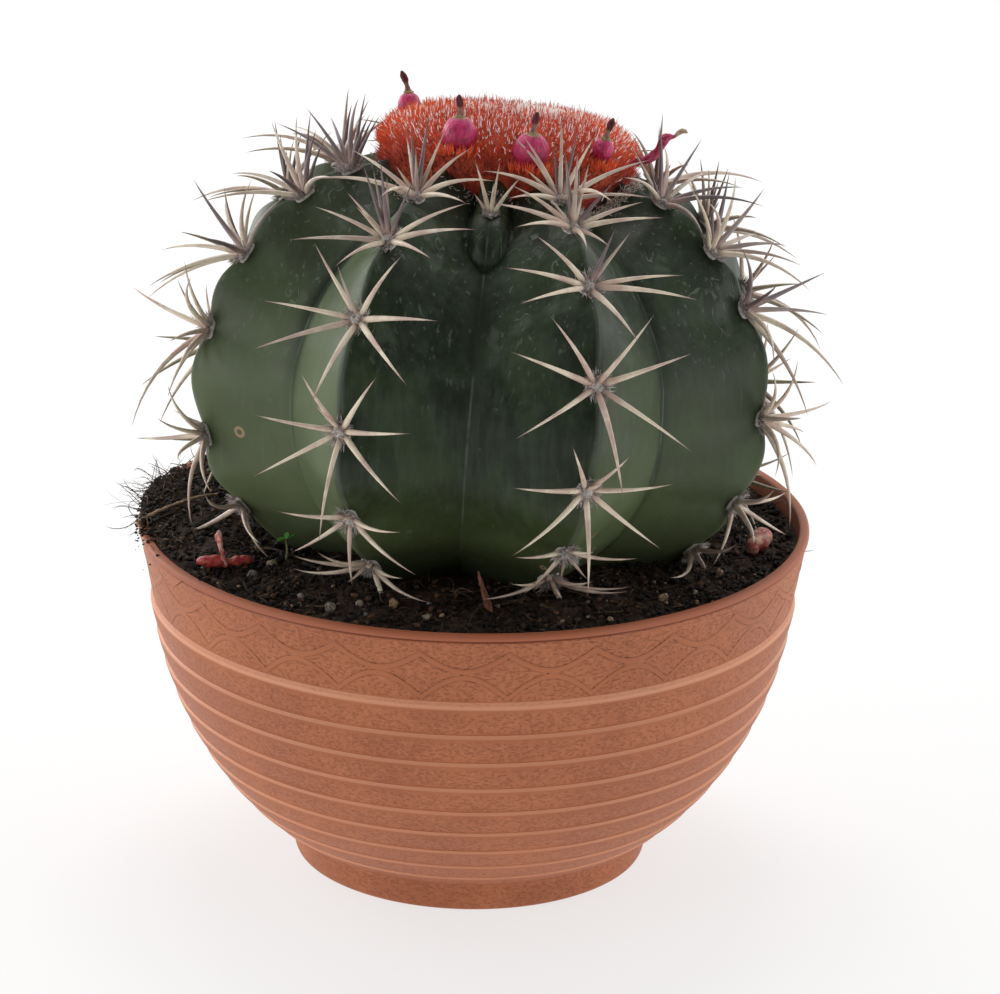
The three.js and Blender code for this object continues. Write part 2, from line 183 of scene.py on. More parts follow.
# the others' meshes added to the first piece, so one CAD node has one detailed piece
def joinInto(piece, *others):
    bpy.ops.object.select_all(action="DESELECT")
    for other in others:
        other.select_set(True)
    piece.select_set(True)
    bpy.context.view_layer.objects.active = piece
    bpy.ops.object.join()
    return piece


# nodes added to a tree, with a short name for each kind that is used here
class Nodes:
    def __init__(self, tree):
        self.tree = tree

    def node(self, kind, **links):
        made = self.tree.nodes.new("ShaderNode" + kind)
        for key, output in links.items():
            self.tree.links.new(output, made.inputs[key])
        return made

    def parts(self, kind="Object"):
        coords = self.node("TexCoord")
        return self.node("SeparateXYZ", Vector=coords.outputs[kind]).outputs

    def place(self, stretch):
        coords = self.node("TexCoord")
        mapping = self.node("Mapping")
        mapping.inputs["Scale"].default_value = stretch
        self.tree.links.new(coords.outputs["Object"], mapping.inputs["Vector"])
        return mapping.outputs["Vector"]

    # noise with features about this many millimetres across
    def grain(self, size, detail=4, rough=0.55, stretch=(1, 1, 1)):
        noise = self.node("TexNoise")
        for key, value in (("Scale", 1 / (size * mm)), ("Detail", detail), ("Roughness", rough)):
            noise.inputs[key].default_value = value
        self.tree.links.new(self.place(stretch), noise.inputs["Vector"])
        return noise.outputs["Fac"]

    def cells(self, size):
        voronoi = self.node("TexVoronoi")
        voronoi.inputs["Scale"].default_value = 1 / (size * mm)
        self.tree.links.new(self.place((1, 1, 1)), voronoi.inputs["Vector"])
        return voronoi.outputs["Distance"]

    def painted(self, key):
        attribute = self.node("Attribute")
        attribute.attribute_name = key
        return attribute.outputs["Fac"]

    def spread(self, value, low, high, toLow=0.0, toHigh=1.0):
        ranged = self.node("MapRange", Value=value)
        ranged.interpolation_type = "SMOOTHSTEP"
        for key, number in (("From Min", low), ("From Max", high), ("To Min", toLow), ("To Max", toHigh)):
            ranged.inputs[key].default_value = number
        return ranged.outputs["Result"]

    # a number or a colour is set on the socket, anything else is linked to it
    def fill(self, sockets, values):
        for socket, value in zip(sockets, values):
            if isinstance(value, (int, float)):
                socket.default_value = value
            elif isinstance(value, tuple):
                socket.default_value = (*value, 1)
            else:
                self.tree.links.new(value, socket)

    def maths(self, operation, a, b=0.0):
        made = self.node("Math")
        made.operation = operation
        self.fill(made.inputs, (a, b))
        return made.outputs[0]

    def times(self, a, b):
        return self.maths("MULTIPLY", a, b)

    def mix(self, share, a, b, mode="MIX"):
        made = self.node("Mix")
        made.data_type = "RGBA"
        made.blend_type = mode
        self.fill((made.inputs[0], made.inputs[6], made.inputs[7]), (share, a, b))
        return made.outputs[2]

    def stops(self, value, colours):
        ramp = self.node("ValToRGB", Fac=value)
        bar = ramp.color_ramp
        while len(bar.elements) < len(colours):
            bar.elements.new(0.5)
        for element, (position, colour) in zip(bar.elements, colours):
            element.position = position
            element.color = (*colour, 1)
        return ramp.outputs["Color"]


class Finish(Nodes):
    def __init__(self, name):
        self.made = bpy.data.materials.new(name)
        self.made.use_nodes = True
        super().__init__(self.made.node_tree)
        self.shader = self.tree.nodes["Principled BSDF"]

    # lays a colour over the ones so far, and at most this much of it
    def coat(self, share, colour, most=1.0, mode="MIX"):
        if most < 1:
            share = self.times(share, most)
        self.colour = self.mix(share, self.colour, colour, mode)

    def feed(self, roughness, specular=None):
        sockets = [self.shader.inputs[key] for key in ("Base Color", "Roughness")]
        self.fill(sockets, (self.colour, roughness))
        if specular:
            self.shader.inputs["Specular IOR Level"].default_value = specular

    def glow(self, strength, colour=None):
        self.fill([self.shader.inputs["Emission Color"]], [colour or self.colour])
        self.shader.inputs["Emission Strength"].default_value = strength

    def soften(self, weight, depths):
        self.shader.inputs["Subsurface Weight"].default_value = weight
        self.shader.inputs["Subsurface Radius"].default_value = depths

    # bumps, each as a height and its depth in millimetres; this finishes the material
    def raised(self, *heights):
        normal = None
        for height, depth in heights:
            bump = self.node("Bump")
            bump.inputs["Strength"].default_value = 1
            bump.inputs["Distance"].default_value = depth * mm
            self.tree.links.new(height, bump.inputs["Height"])
            if normal:
                self.tree.links.new(normal, bump.inputs["Normal"])
            normal = bump.outputs["Normal"]
        self.tree.links.new(normal, self.shader.inputs["Normal"])
        return self.made


def dress(piece, finish):
    piece.data.materials.clear()
    piece.data.materials.append(finish)
    return piece


# ---- the bowl: lip, lattice band, nine stepped rings and a foot, all in one moulding
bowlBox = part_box("pot")
bowl = {
    "height": bowlBox[1].z / mm,
    "rim": bowlBox[1].x / mm,
    "lipWidth": 2.8,
    "lipDepth": 1.8,
    "foot": 50.8,
    "footHeight": 8.6,
    "bandBottom": 79.4,
    "bandInset": 3.4,
    "rings": 9,
    "ringStep": 0.8,
    "flare": 1.0,  # share of a ring's height that swells out of the groove under it
    "ledge": 0.12,  # share that rounds over into the ledge on top
    "wall": 2.4,
    "columns": 720,
    "bandRows": 44,
    "diamonds": 25,
    "firstDiamond": 6.0,  # azimuth of one diamond's point, degrees from the front
    "latticeHeights": (80.2, 87.6, 93.6),  # lower points, crossings, upper points
    "ribbonHalf": 0.8,
    "ribbonRise": 0.10,
}


def bowlCurve(b, share):
    ends = np.array([
        (b["foot"] + 2.2, b["footHeight"]), (74, 22), (89, 50),
        (b["rim"] - b["bandInset"], b["bandBottom"] - 1.4),
    ])
    t = np.linspace(0, 1, 400)[:, None]
    curve = (1 - t) ** 3 * ends[0] + 3 * (1 - t) ** 2 * t * ends[1]
    curve += 3 * (1 - t) * t ** 2 * ends[2] + t ** 3 * ends[3]
    run = np.append(0, np.cumsum(np.linalg.norm(np.diff(curve, axis=0), axis=1)))
    run /= run[-1]
    return np.stack([np.interp(share, run, curve[:, 0]), np.interp(share, run, curve[:, 1])], -1)


# profile rows as (radius, height, how pebbled, lattice, ledge or -1 in the groove over it, lip)
def bowlRows(b):
    rows = [(0, 0, 0, 0, 0, 0), (b["foot"] - 1, 0, 0, 0, 0, 0), (b["foot"] - 0.3, 0.25, 0, 0, 0, 0)]
    rows += [(b["foot"] + 0.1 * i, 1 + i * (b["footHeight"] - 1.6) / 5, 0.8, 0, 0, 0) for i in range(6)]
    flare, round_ = b["flare"], b["ledge"]
    stations = [0, 0.03, 0.08, 0.16, 0.28, 0.42, 0.58, 0.74, *np.linspace(1 - round_, 1, 7)]
    for ring in range(b["rings"]):
        last = ring == b["rings"] - 1
        for t in stations:
            r, z = bowlCurve(b, (ring + t * 0.999) / b["rings"])
            dent = b["ringStep"] * max(0, 1 - t / flare) ** 2.2
            turn = max(0, (t - 1 + round_) / round_)
            dent += b["ringStep"] * (1 - math.cos(turn * math.pi / 2)) * (0.4 if last else 1)
            pebbled = smoothstep(t, 0.02, 0.1) * (1 - smoothstep(t, 0.84 - round_, 1 - round_))
            ledge = turn ** 0.6 if turn > 0 else -max(0, 1 - t / 0.05)
            rows.append((r - dent + (0.35 * t if last else 0), z, pebbled, 0, ledge, 0))
    top, inset = b["height"], b["bandInset"] + 0.4
    low, high = b["bandBottom"] + 0.2, top - b["lipDepth"] - 0.5
    foot = b["rim"] - inset
    rows += [(foot + 0.35 - 0.1 * i, b["bandBottom"] - 1.2 + 0.3 * i, 0.3, 0, 0.6, 0) for i in range(4)]
    rows.append((foot - 0.05, low - 0.12, 0, 0, -0.4, 0))
    for t in np.linspace(0, 1, b["bandRows"]):
        rows.append((foot + (inset - 0.45) * t, low + (high - low) * t, 1, 1, 0, 0))
    lip = [
        (0.85, high + 0.25), (0.9, high + 0.42), (0.25, high + 0.55), (0, high + 0.85), (0, top - 0.8),
        (0.12, top - 0.4), (0.4, top - 0.12), (0.9, top), (b["lipWidth"] - 0.6, top),
        (b["lipWidth"] - 0.15, top - 0.2), (b["lipWidth"], top - 0.7), (b["lipWidth"] + 0.2, top - 5),
    ]
    rows += [(b["rim"] - inward, z, 0, 0, 0, 1) for inward, z in lip]
    for share in (0.95, 0.75, 0.5, 0.25, 0.02):
        r, z = bowlCurve(b, share)
        rows.append((r - b["wall"] - 0.9, z + 1.2, 0, 0, 0, 0))
    rows += [(b["foot"] - b["wall"], 3.1, 0, 0, 0, 0), (20, 3, 0, 0, 0, 0), (0, 3, 0, 0, 0, 0)]
    return np.array(rows, float)


# 1 on the smooth raised ribbons of the lattice and 0 on the panels between, with the distance to a ribbon
def latticeRibbon(b, azimuth, z):
    low, mid, high = b["latticeHeights"]
    share = (azimuth - b["firstDiamond"]) * b["diamonds"] / 360
    arch = np.abs(np.sin(np.pi * share))
    hang = mid + 0.9 + (high - mid - 0.9) * (1 - arch) - z
    rise = mid - 0.9 - (mid - 0.9 - low) * (1 - arch) - z
    slope = np.sqrt(1 + (0.55 * np.cos(np.pi * share)) ** 2)
    distance = np.minimum(np.abs(hang), np.abs(rise)) / slope
    between = (np.abs(z - mid) < 0.9) & (np.abs(np.cos(np.pi * share)) < 0.35)
    distance = np.where(between, 0, distance)
    return 1 - smoothstep(distance, b["ribbonHalf"] - 0.3, b["ribbonHalf"] + 0.3), distance


def makeBowl(b):
    rows = bowlRows(b)[1:-1]
    grid = turnProfile(rows[:, :2], b["columns"])
    azimuth = np.degrees(np.arctan2(grid[..., 0], -grid[..., 1]))
    ribbon, distance = latticeRibbon(b, azimuth, grid[..., 2])
    pebbled, band, ledge, lip = (rows[:, i:i + 1] + 0 * azimuth for i in (2, 3, 4, 5))
    groove = np.exp(-((distance - b["ribbonHalf"] - 0.15) / 0.24) ** 2)
    out = band * (b["ribbonRise"] * ribbon - 0.14 * groove)
    radius = np.linalg.norm(grid[..., :2], axis=-1)
    grid[..., :2] *= (1 + out / radius)[..., None]
    points = np.concatenate([grid.reshape(-1, 3), [[0, 0, 0], [0, 0, 3]]]) * mm
    seam = np.exp(-((grid[..., 2] - (b["height"] - b["lipDepth"] - 0.1)) / 0.22) ** 2)
    seam *= radius > b["rim"] - 1.2
    values = {"pebbled": pebbled, "band": band, "seam": seam, "ledge": ledge, "lip": lip}
    values = {key: endedBy(grid) for key, grid in values.items()}
    return addMesh("bowl", points, fannedFaces(len(rows), b["columns"]), values)


bowlFinish = {
    "clay": (0.375, 0.110, 0.039),
    "clayLight": (0.435, 0.140, 0.055),
    # painted highlight colour, for the ledges and the brows round the dents
    "ledge": (0.78, 0.36, 0.21),
    "lip": (0.36, 0.100, 0.043),
    # painted shade, for the dents, the grooves over the ledges and the lattice's engraved outlines
    "hollowShade": (0.235, 0.062, 0.022),
    "seam": (0.16, 0.028, 0.020),
    "dirt": (0.12, 0.07, 0.045),
    "roughness": 0.56,
}


# the same lattice for the finish: its engraved outlines, and where its ribbons run
def latticeMarks(m, b):
    parts = m.parts()
    z = m.maths("DIVIDE", parts["Z"], mm)
    turn = m.maths("ARCTAN2", parts["X"], m.times(parts["Y"], -1.0))
    turn = m.maths("SUBTRACT", turn, math.radians(b["firstDiamond"]))
    phase = m.times(turn, b["diamonds"] / 2)
    arch = m.maths("ABSOLUTE", m.maths("SINE", phase))
    lean = m.maths("ABSOLUTE", m.maths("COSINE", phase))
    low, mid, high = b["latticeHeights"]
    gaps = []
    for tip, crossing in ((high, mid + 0.9), (low, mid - 0.9)):
        level = m.maths("ADD", m.times(arch, crossing - tip), tip)
        gaps.append(m.maths("ABSOLUTE", m.maths("SUBTRACT", level, z)))
    steepness = m.maths("POWER", m.times(lean, 0.55), 2.0)
    slope = m.maths("SQRT", m.maths("ADD", steepness, 1.0))
    nearest = m.maths("DIVIDE", m.maths("MINIMUM", *gaps), slope)
    ribbon = m.spread(nearest, b["ribbonHalf"] + 0.15, b["ribbonHalf"] - 0.15)
    edge = m.maths("ABSOLUTE", m.maths("SUBTRACT", nearest, b["ribbonHalf"] + 0.1))
    offCrossing = m.maths("ABSOLUTE", m.maths("SUBTRACT", z, mid))
    open_ = m.maths("MAXIMUM", m.spread(lean, 0.22, 0.36), m.spread(offCrossing, 0.8, 1.1))
    line = m.times(m.spread(edge, 0.30, 0.08), open_)
    band = m.painted("band")
    return m.times(line, band), m.times(ribbon, band)


def bowlPlastic(f):
    m = Finish("terracotta plastic")
    blotch = m.grain(26, 3)
    m.colour = m.mix(m.spread(blotch, 0.35, 0.68), f["clay"], f["clayLight"])
    line, ribbon = latticeMarks(m, bowl)
    ledge = m.painted("ledge")
    # painted highlight on top of each ring's ledge, and painted shade in the groove over it
    m.coat(m.spread(ledge, 0.0, 0.9, 0, 0.85), f["ledge"])
    m.coat(m.spread(ledge, 0.0, -1.0, 0, 0.45), f["hollowShade"])
    m.coat(m.painted("lip"), f["lip"], 0.8)
    # short dents pressed into the rings and panels: painted shade in each dent, and a painted highlight on
    # the brow round it
    dimple = m.grain(1.15, 1.2, 0.5, (1, 1, 1.8))
    pebbled = m.times(m.painted("pebbled"), m.maths("SUBTRACT", 1.0, ribbon))
    pits = m.times(m.spread(dimple, 0.575, 0.635), pebbled)
    browHighlight = m.times(m.spread(dimple, 0.43, 0.34), pebbled)
    m.coat(browHighlight, f["ledge"], 0.12)
    m.coat(pits, f["hollowShade"], 0.30)
    speck = m.times(m.spread(m.grain(0.9, 2, 0.4), 0.74, 0.79), 0.5)
    m.coat(speck, f["dirt"])
    # painted shade along the lattice's engraved outlines
    m.coat(line, f["hollowShade"], 0.42)
    m.coat(m.painted("seam"), f["seam"], 0.85)
    rough = m.spread(blotch, 0.3, 0.7, f["roughness"] - 0.06, f["roughness"] + 0.06)
    m.feed(rough, 0.44)
    return m.raised((m.times(pits, -1.0), 0.20), (ribbon, 0.10), (m.grain(0.5, 3), 0.03))


bowlPiece = dress(makeBowl(bowl), bowlPlastic(bowlFinish))
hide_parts("pot")
print("bowl made")


# ---- the plant's own frame and the shape of its skin
plant = {
    "offset": (1.0, 0.0, 125.8),
    "leanRight": 3.9,
    "leanBack": 8.4,
    # the ribs' crests: angle above the middle, distance from it
    "crest": [
        (-90, 50), (-60, 54), (-30, 66), (0, 81.8), (22, 87), (50, 86), (65, 82.5), (78, 78.5), (90, 77),
    ],
    "valleyDepth": 0.15,
    "valleyFade": (56, 78),
    "rounding": 0.035,
    "hollow": 0.13,
    "swell": 0.036,
    "swellSpacing": 18,
    "perFlank": 27,
    "rows": 200,
}
# each rib: azimuth from the front (+ to the right), and the angles of its areoles, crown first
ribs = {
    "left": (-68, [58, 48, 33, 18, -2, -18]),
    "front_left": (-27, [54, 42, 26, 6, -12, -27]),
    "front_right": (20, [57, 49, 36, 18, -1, -16, -26]),
    "right": (65, [55, 42, 30, 10, -7, -20]),
    "back_right": (110, [56, 43, 28, 10, -9]),
    "back_mid_right": (155, [55, 43, 29, 13, -3]),
    "back_mid_left": (200, [57, 44, 30, 14, -3]),
    "back_left": (246, [55, 42, 27, 9, -10]),
}
youngRib = {"azimuth": -3.5, "width": 7.2, "end": 45, "top": 56, "height": 0.08, "areole": 56}


def leanMatrix(p):
    a, b = math.radians(p["leanRight"]), -math.radians(p["leanBack"])
    aboutY = np.array([[math.cos(a), 0, math.sin(a)], [0, 1, 0], [-math.sin(a), 0, math.cos(a)]])
    aboutX = np.array([[1, 0, 0], [0, math.cos(b), -math.sin(b)], [0, math.sin(b), math.cos(b)]])
    return aboutY @ aboutX


lean = leanMatrix(plant)


def toBowl(points):  # from the plant's frame in millimetres to the row's in metres
    return (np.asarray(points, float) @ lean.T + plant["offset"]) * mm


# needles given in the plant's frame, in millimetres
def plantNeedles(name, start, way, bow, length, thick, tone, **shape):
    way, bow = np.array(way) @ lean.T, np.array(bow) @ lean.T
    length, thick = np.array(length) * mm, np.array(thick) * mm
    return addNeedles(name, toBowl(start), way, bow, length, thick, tone, **shape)


def turnDegrees(a, b):
    return (np.asarray(a, float) - b + 180) % 360 - 180


def crestRadius(angle):
    knots = np.array(plant["crest"], float)
    x, y = knots[:, 0], knots[:, 1]
    slope = np.gradient(y, x)
    angle = np.clip(angle, -90, 90)
    i = np.clip(np.searchsorted(x, angle) - 1, 0, len(x) - 2)
    h = x[i + 1] - x[i]
    t = (angle - x[i]) / h
    return (
        (2 * t ** 3 - 3 * t ** 2 + 1) * y[i] + (t ** 3 - 2 * t ** 2 + t) * h * slope[i]
        + (3 * t ** 2 - 2 * t ** 3) * y[i + 1] + (t ** 3 - t ** 2) * h * slope[i + 1]
    )


# for each azimuth: how far out on its rib's flank (0 crest, 1 valley), and which rib
def flankOf(azimuth):
    azimuth = np.asarray(azimuth, float)
    names = list(ribs)
    best = np.full(azimuth.shape, np.inf)
    owner = np.zeros(azimuth.shape, int)
    for i, name in enumerate(names):
        turn = turnDegrees(azimuth, ribs[name][0])
        after = abs(turnDegrees(ribs[names[(i + 1) % len(names)]][0], ribs[name][0])) / 2
        before = abs(turnDegrees(ribs[names[i - 1]][0], ribs[name][0])) / 2
        flank = np.where(turn >= 0, turn / after, -turn / before)
        nearer = flank < best
        best = np.where(nearer, flank, best)
        owner = np.where(nearer, i, owner)
    return best, owner


def swelling(areoles, angle):
    angle = np.asarray(angle, float)
    out = np.zeros(angle.shape)
    for high, low in zip(areoles, areoles[1:]):
        inside = (angle <= high) & (angle >= low)
        share = (high - angle) / (high - low)
        wave = np.sin(np.pi * np.clip(share, 0, 1) ** 0.9) ** 1.5
        out = np.where(inside, plant["swell"] * min(1, (high - low) / plant["swellSpacing"]) * wave, out)
    return out


# the skin's distance from the middle, with its ribs, swellings and the young rib
def skinRadius(angle, azimuth):
    angle, azimuth = np.broadcast_arrays(np.asarray(angle, float), np.asarray(azimuth, float))
    flank, owner = flankOf(azimuth)
    depth = plant["valleyDepth"] * (1 - smoothstep(angle, *plant["valleyFade"]))
    a = plant["rounding"]
    fall = (np.hypot(flank, a) - a) / (math.hypot(1, a) - a)
    fall = fall + plant["hollow"] * np.sin(np.pi * np.clip(flank, 0, 1))  # keeps the flanks flat
    swell = np.zeros(angle.shape)
    for i, name in enumerate(ribs):
        mine = owner == i
        swell = np.where(mine, swelling(ribs[name][1], angle), swell)
    swell = swell * (1 - np.clip(flank, 0, 1)) ** 1.5
    y = youngRib
    across = turnDegrees(azimuth, y["azimuth"]) / y["width"]
    down = np.clip((y["top"] - angle) / (y["top"] - y["end"]), 0, 2)
    room = np.clip(1 - across ** 2 - down ** 2, 0, 1)
    young = y["height"] * room ** 0.5
    rim = np.hypot(across, down)
    crease = -0.012 * np.exp(-((rim - 1.03) / 0.08) ** 2) * smoothstep(angle, y["end"] - 6, y["end"] + 2)
    return crestRadius(angle) * (1 - depth * fall + swell + young + crease)


def onSkin(angle, azimuth, radius):
    a, b = np.radians(angle), np.radians(azimuth)
    return np.stack([
        radius * np.cos(a) * np.sin(b), -radius * np.cos(a) * np.cos(b), radius * np.sin(a) + 0 * b,
    ], -1)


def softNoise(points, size, seed):
    rng = np.random.default_rng(seed)
    waves = rng.normal(size=(10, 3))
    waves = unit(waves) * rng.uniform(0.6, 1.7, (10, 1)) * 2 * np.pi / size
    phases = rng.uniform(0, 2 * np.pi, 10)
    return np.sin(np.asarray(points) @ waves.T + phases).mean(-1) * 1.6


# columns crowd at the crests and the valleys, so both stay crisp
def bodyColumns(p):
    steps = np.linspace(0, 1, p["perFlank"], endpoint=False)
    steps = 0.5 * (1 - np.cos(np.pi * steps)) * 0.75 + 0.25 * steps
    order = sorted(ribs.values())
    turns = []
    for i, (azimuth, _) in enumerate(order):
        half = turnDegrees(order[(i + 1) % len(order)][0], azimuth) / 2
        turns += [azimuth + half * t for t in steps]
        turns += [azimuth + half * (2 - t) for t in [1, *steps[:0:-1]]]
    return np.array(turns)


def makeBody(p):
    turns = bodyColumns(p)
    angles = np.linspace(-88, 88, p["rows"])
    azimuth, angle = np.meshgrid(turns, angles)
    radius = skinRadius(angle, azimuth)
    points = onSkin(angle, azimuth, radius)
    radius = radius + 0.5 * softNoise(points, 38, 4) + 0.14 * softNoise(points, 9, 5)
    points = onSkin(angle, azimuth, radius)
    flank, _ = flankOf(azimuth)
    count, columns = angle.shape
    ends = onSkin(np.array([-90, 90]), np.array([0, 0]), crestRadius(np.array([-90.0, 90.0])))
    flat = np.concatenate([points.reshape(-1, 3), ends])
    # painted light: the flanks that face left and right are painted paler, where the side lights fall on
    # them, each up to its own crest
    left, right = -turnDegrees(azimuth, 0), turnDegrees(azimuth, 0)
    lowDown = 1 - smoothstep(angle, 0, 38)
    leftFace = smoothstep(left, 27.1, 28.3) * (1 - smoothstep(left, 45.5, 47.5))
    leftSide = smoothstep(left, 46, 48) * (1 - smoothstep(left, 120, 150))
    rightFace = smoothstep(right, 20.1, 21.2) * (1 - smoothstep(right, 41, 42.5))
    rightSide = smoothstep(right, 42, 44) * (1 - smoothstep(right, 120, 150))
    foot = 1 - smoothstep(angle, -15, 8)
    sideLight = (
        0.74 * leftFace + leftSide * (0.25 + 0.60 * lowDown)
        + rightFace * (0.04 + 0.44 * lowDown + 0.3 * foot)
        + rightSide * (0.04 + 0.34 * lowDown + 0.12 * foot)
    )
    values = {"flank": endedBy(flank, (1, 1)), "rise": endedBy(angle, (-90, 90)), "sideLight": endedBy(sideLight)}
    return addMesh("body", toBowl(flat), fannedFaces(count, columns), values)


skin = {
    "deep": (0.009, 0.016, 0.0065),
    "green": (0.026, 0.044, 0.015),
    "low": (0.085, 0.110, 0.036),
    "bloom": (0.100, 0.125, 0.100),
    # painted light: the paler green of the flanks lit from the sides
    "sideLitGreen": (0.150, 0.190, 0.095),
    "pale": (0.40, 0.43, 0.38),
    "scar": (0.34, 0.24, 0.14),
    "roughness": 0.38,
}
# corky marks on the skin: angle, azimuth, radius in millimetres
scars = [(0, -60, 1.9), (-13, 27, 1.3), (-20, 32, 1.3), (-22, 17, 1.1)]


def ringMark(m, centre):
    coords = m.node("TexCoord")
    gap = m.node("VectorMath")
    gap.operation = "DISTANCE"
    gap.inputs[1].default_value = centre
    m.tree.links.new(coords.outputs["Object"], gap.inputs[0])
    return gap.outputs["Value"]


def cactusSkin(s):
    m = Finish("cactus skin")
    rise, flank = m.painted("rise"), m.painted("flank")
    mottle = m.grain(16, 5, 0.6)
    m.colour = m.mix(m.spread(mottle, 0.36, 0.66), s["deep"], s["green"])
    lowShare = m.times(m.spread(rise, 4, -26), 0.65)
    m.coat(lowShare, s["low"])
    shade = m.times(m.spread(rise, -16, -27), 0.5)
    m.coat(shade, s["deep"])
    # painted light: the flanks that face the side lights are painted paler
    sideLit = m.times(m.painted("sideLight"), m.spread(m.grain(30, 3), 0.25, 0.75, 0.6, 1))
    m.coat(sideLit, s["sideLitGreen"])
    haze = m.times(m.spread(m.grain(22, 5, 0.65), 0.42, 0.7), m.spread(rise, 5, 55))
    m.coat(haze, s["bloom"], 0.35)
    streaks = m.spread(m.grain(5, 4, 0.6, (2.6, 2.6, 0.28)), 0.35, 0.75, 0, 0.16)
    m.coat(streaks, s["bloom"])
    # wax rubbed into pale runs, most of it high up
    patches = m.times(m.spread(m.grain(17, 2), 0.52, 0.60), m.spread(rise, 12, 38, 0.05, 1))
    blots = m.grain(8, 1.5, 0.5, (1.6, 1.6, 0.5))
    outline = m.maths("ABSOLUTE", m.maths("SUBTRACT", blots, 0.5))
    runs = m.times(m.spread(outline, 0.022, 0.006), patches)
    runs = m.times(runs, m.spread(m.grain(5, 3), 0.44, 0.60))
    m.coat(runs, s["pale"], 0.27)
    filled = m.times(m.spread(blots, 0.52, 0.60), patches)
    m.coat(filled, s["pale"], 0.10)
    scratches = m.spread(m.grain(4.5, 2, 0.5, (3.4, 3.4, 0.22)), 0.64, 0.70)
    scratches = m.times(scratches, m.spread(rise, 8, 40, 0.03, 0.17))
    m.coat(scratches, s["pale"])
    dots = m.times(m.spread(m.grain(2.2, 1, 0.4), 0.76, 0.80), 0.08)
    m.coat(dots, s["pale"])
    crestLine = m.times(m.spread(flank, 0.035, 0.010), 0.10)
    m.coat(crestLine, s["pale"])
    # a dark crease down each valley, with a thin broken pale line in it
    shadow = m.times(m.spread(flank, 0.84, 0.985), m.spread(rise, 2, 34, 0.05, 0.85))
    m.coat(shadow, s["deep"])
    valleyLine = m.spread(flank, 0.984, 0.995)
    broken = m.spread(m.grain(9, 3), 0.42, 0.68, 0.02, 0.14)
    m.coat(m.times(valleyLine, broken), s["pale"])
    for angle, azimuth, size in scars:
        spot = toBowl(onSkin(angle, azimuth, skinRadius(angle, azimuth)))
        gap = ringMark(m, spot)
        outer = m.spread(gap, size * mm, size * 0.8 * mm)
        inner = m.spread(gap, size * 0.35 * mm, size * 0.5 * mm)
        m.coat(m.times(outer, inner), s["scar"])
    rough = m.spread(mottle, 0.3, 0.7, s["roughness"] - 0.06, s["roughness"] + 0.12)
    m.feed(rough, 0.22)
    return m.raised((m.grain(6, 4, 0.5), 0.12), (m.grain(0.8, 3), 0.03))


bodyPiece = dress(makeBody(plant), cactusSkin(skin))
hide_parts("cactus_body")
print("body made")


# ---- areoles: a woolly pad with its spines, one piece for each
cluster = {
    "padLength": 3.3, "padWidth": 2.8, "padHeight": 1.9,
    "wool": 260, "woolLength": (1.4, 3.2), "woolThick": 0.13,
    "thick": 0.96, "spine": {"sides": 7, "rings": 9, "taper": 0.85, "neck": 0.3},
}
# the usual cluster: clock angle (0 up the rib), rise off the skin, length, how far it bows
usualSpines = [
    (-35, 26, 22, 0.07), (35, 26, 22, 0.07), (-82, 20, 26, 0.08), (82, 20, 27, 0.08),
    (-120, 18, 28, 0.08), (120, 18, 28, 0.08), (176, 32, 32, 0.10), (-12, 60, 14, 0.02),
]
crownSpines = [(0, 60, 21, 0.02), (22, 44, 19, 0.03), (-24, 42, 20, 0.03), (-60, 38, 12, 0.02)]
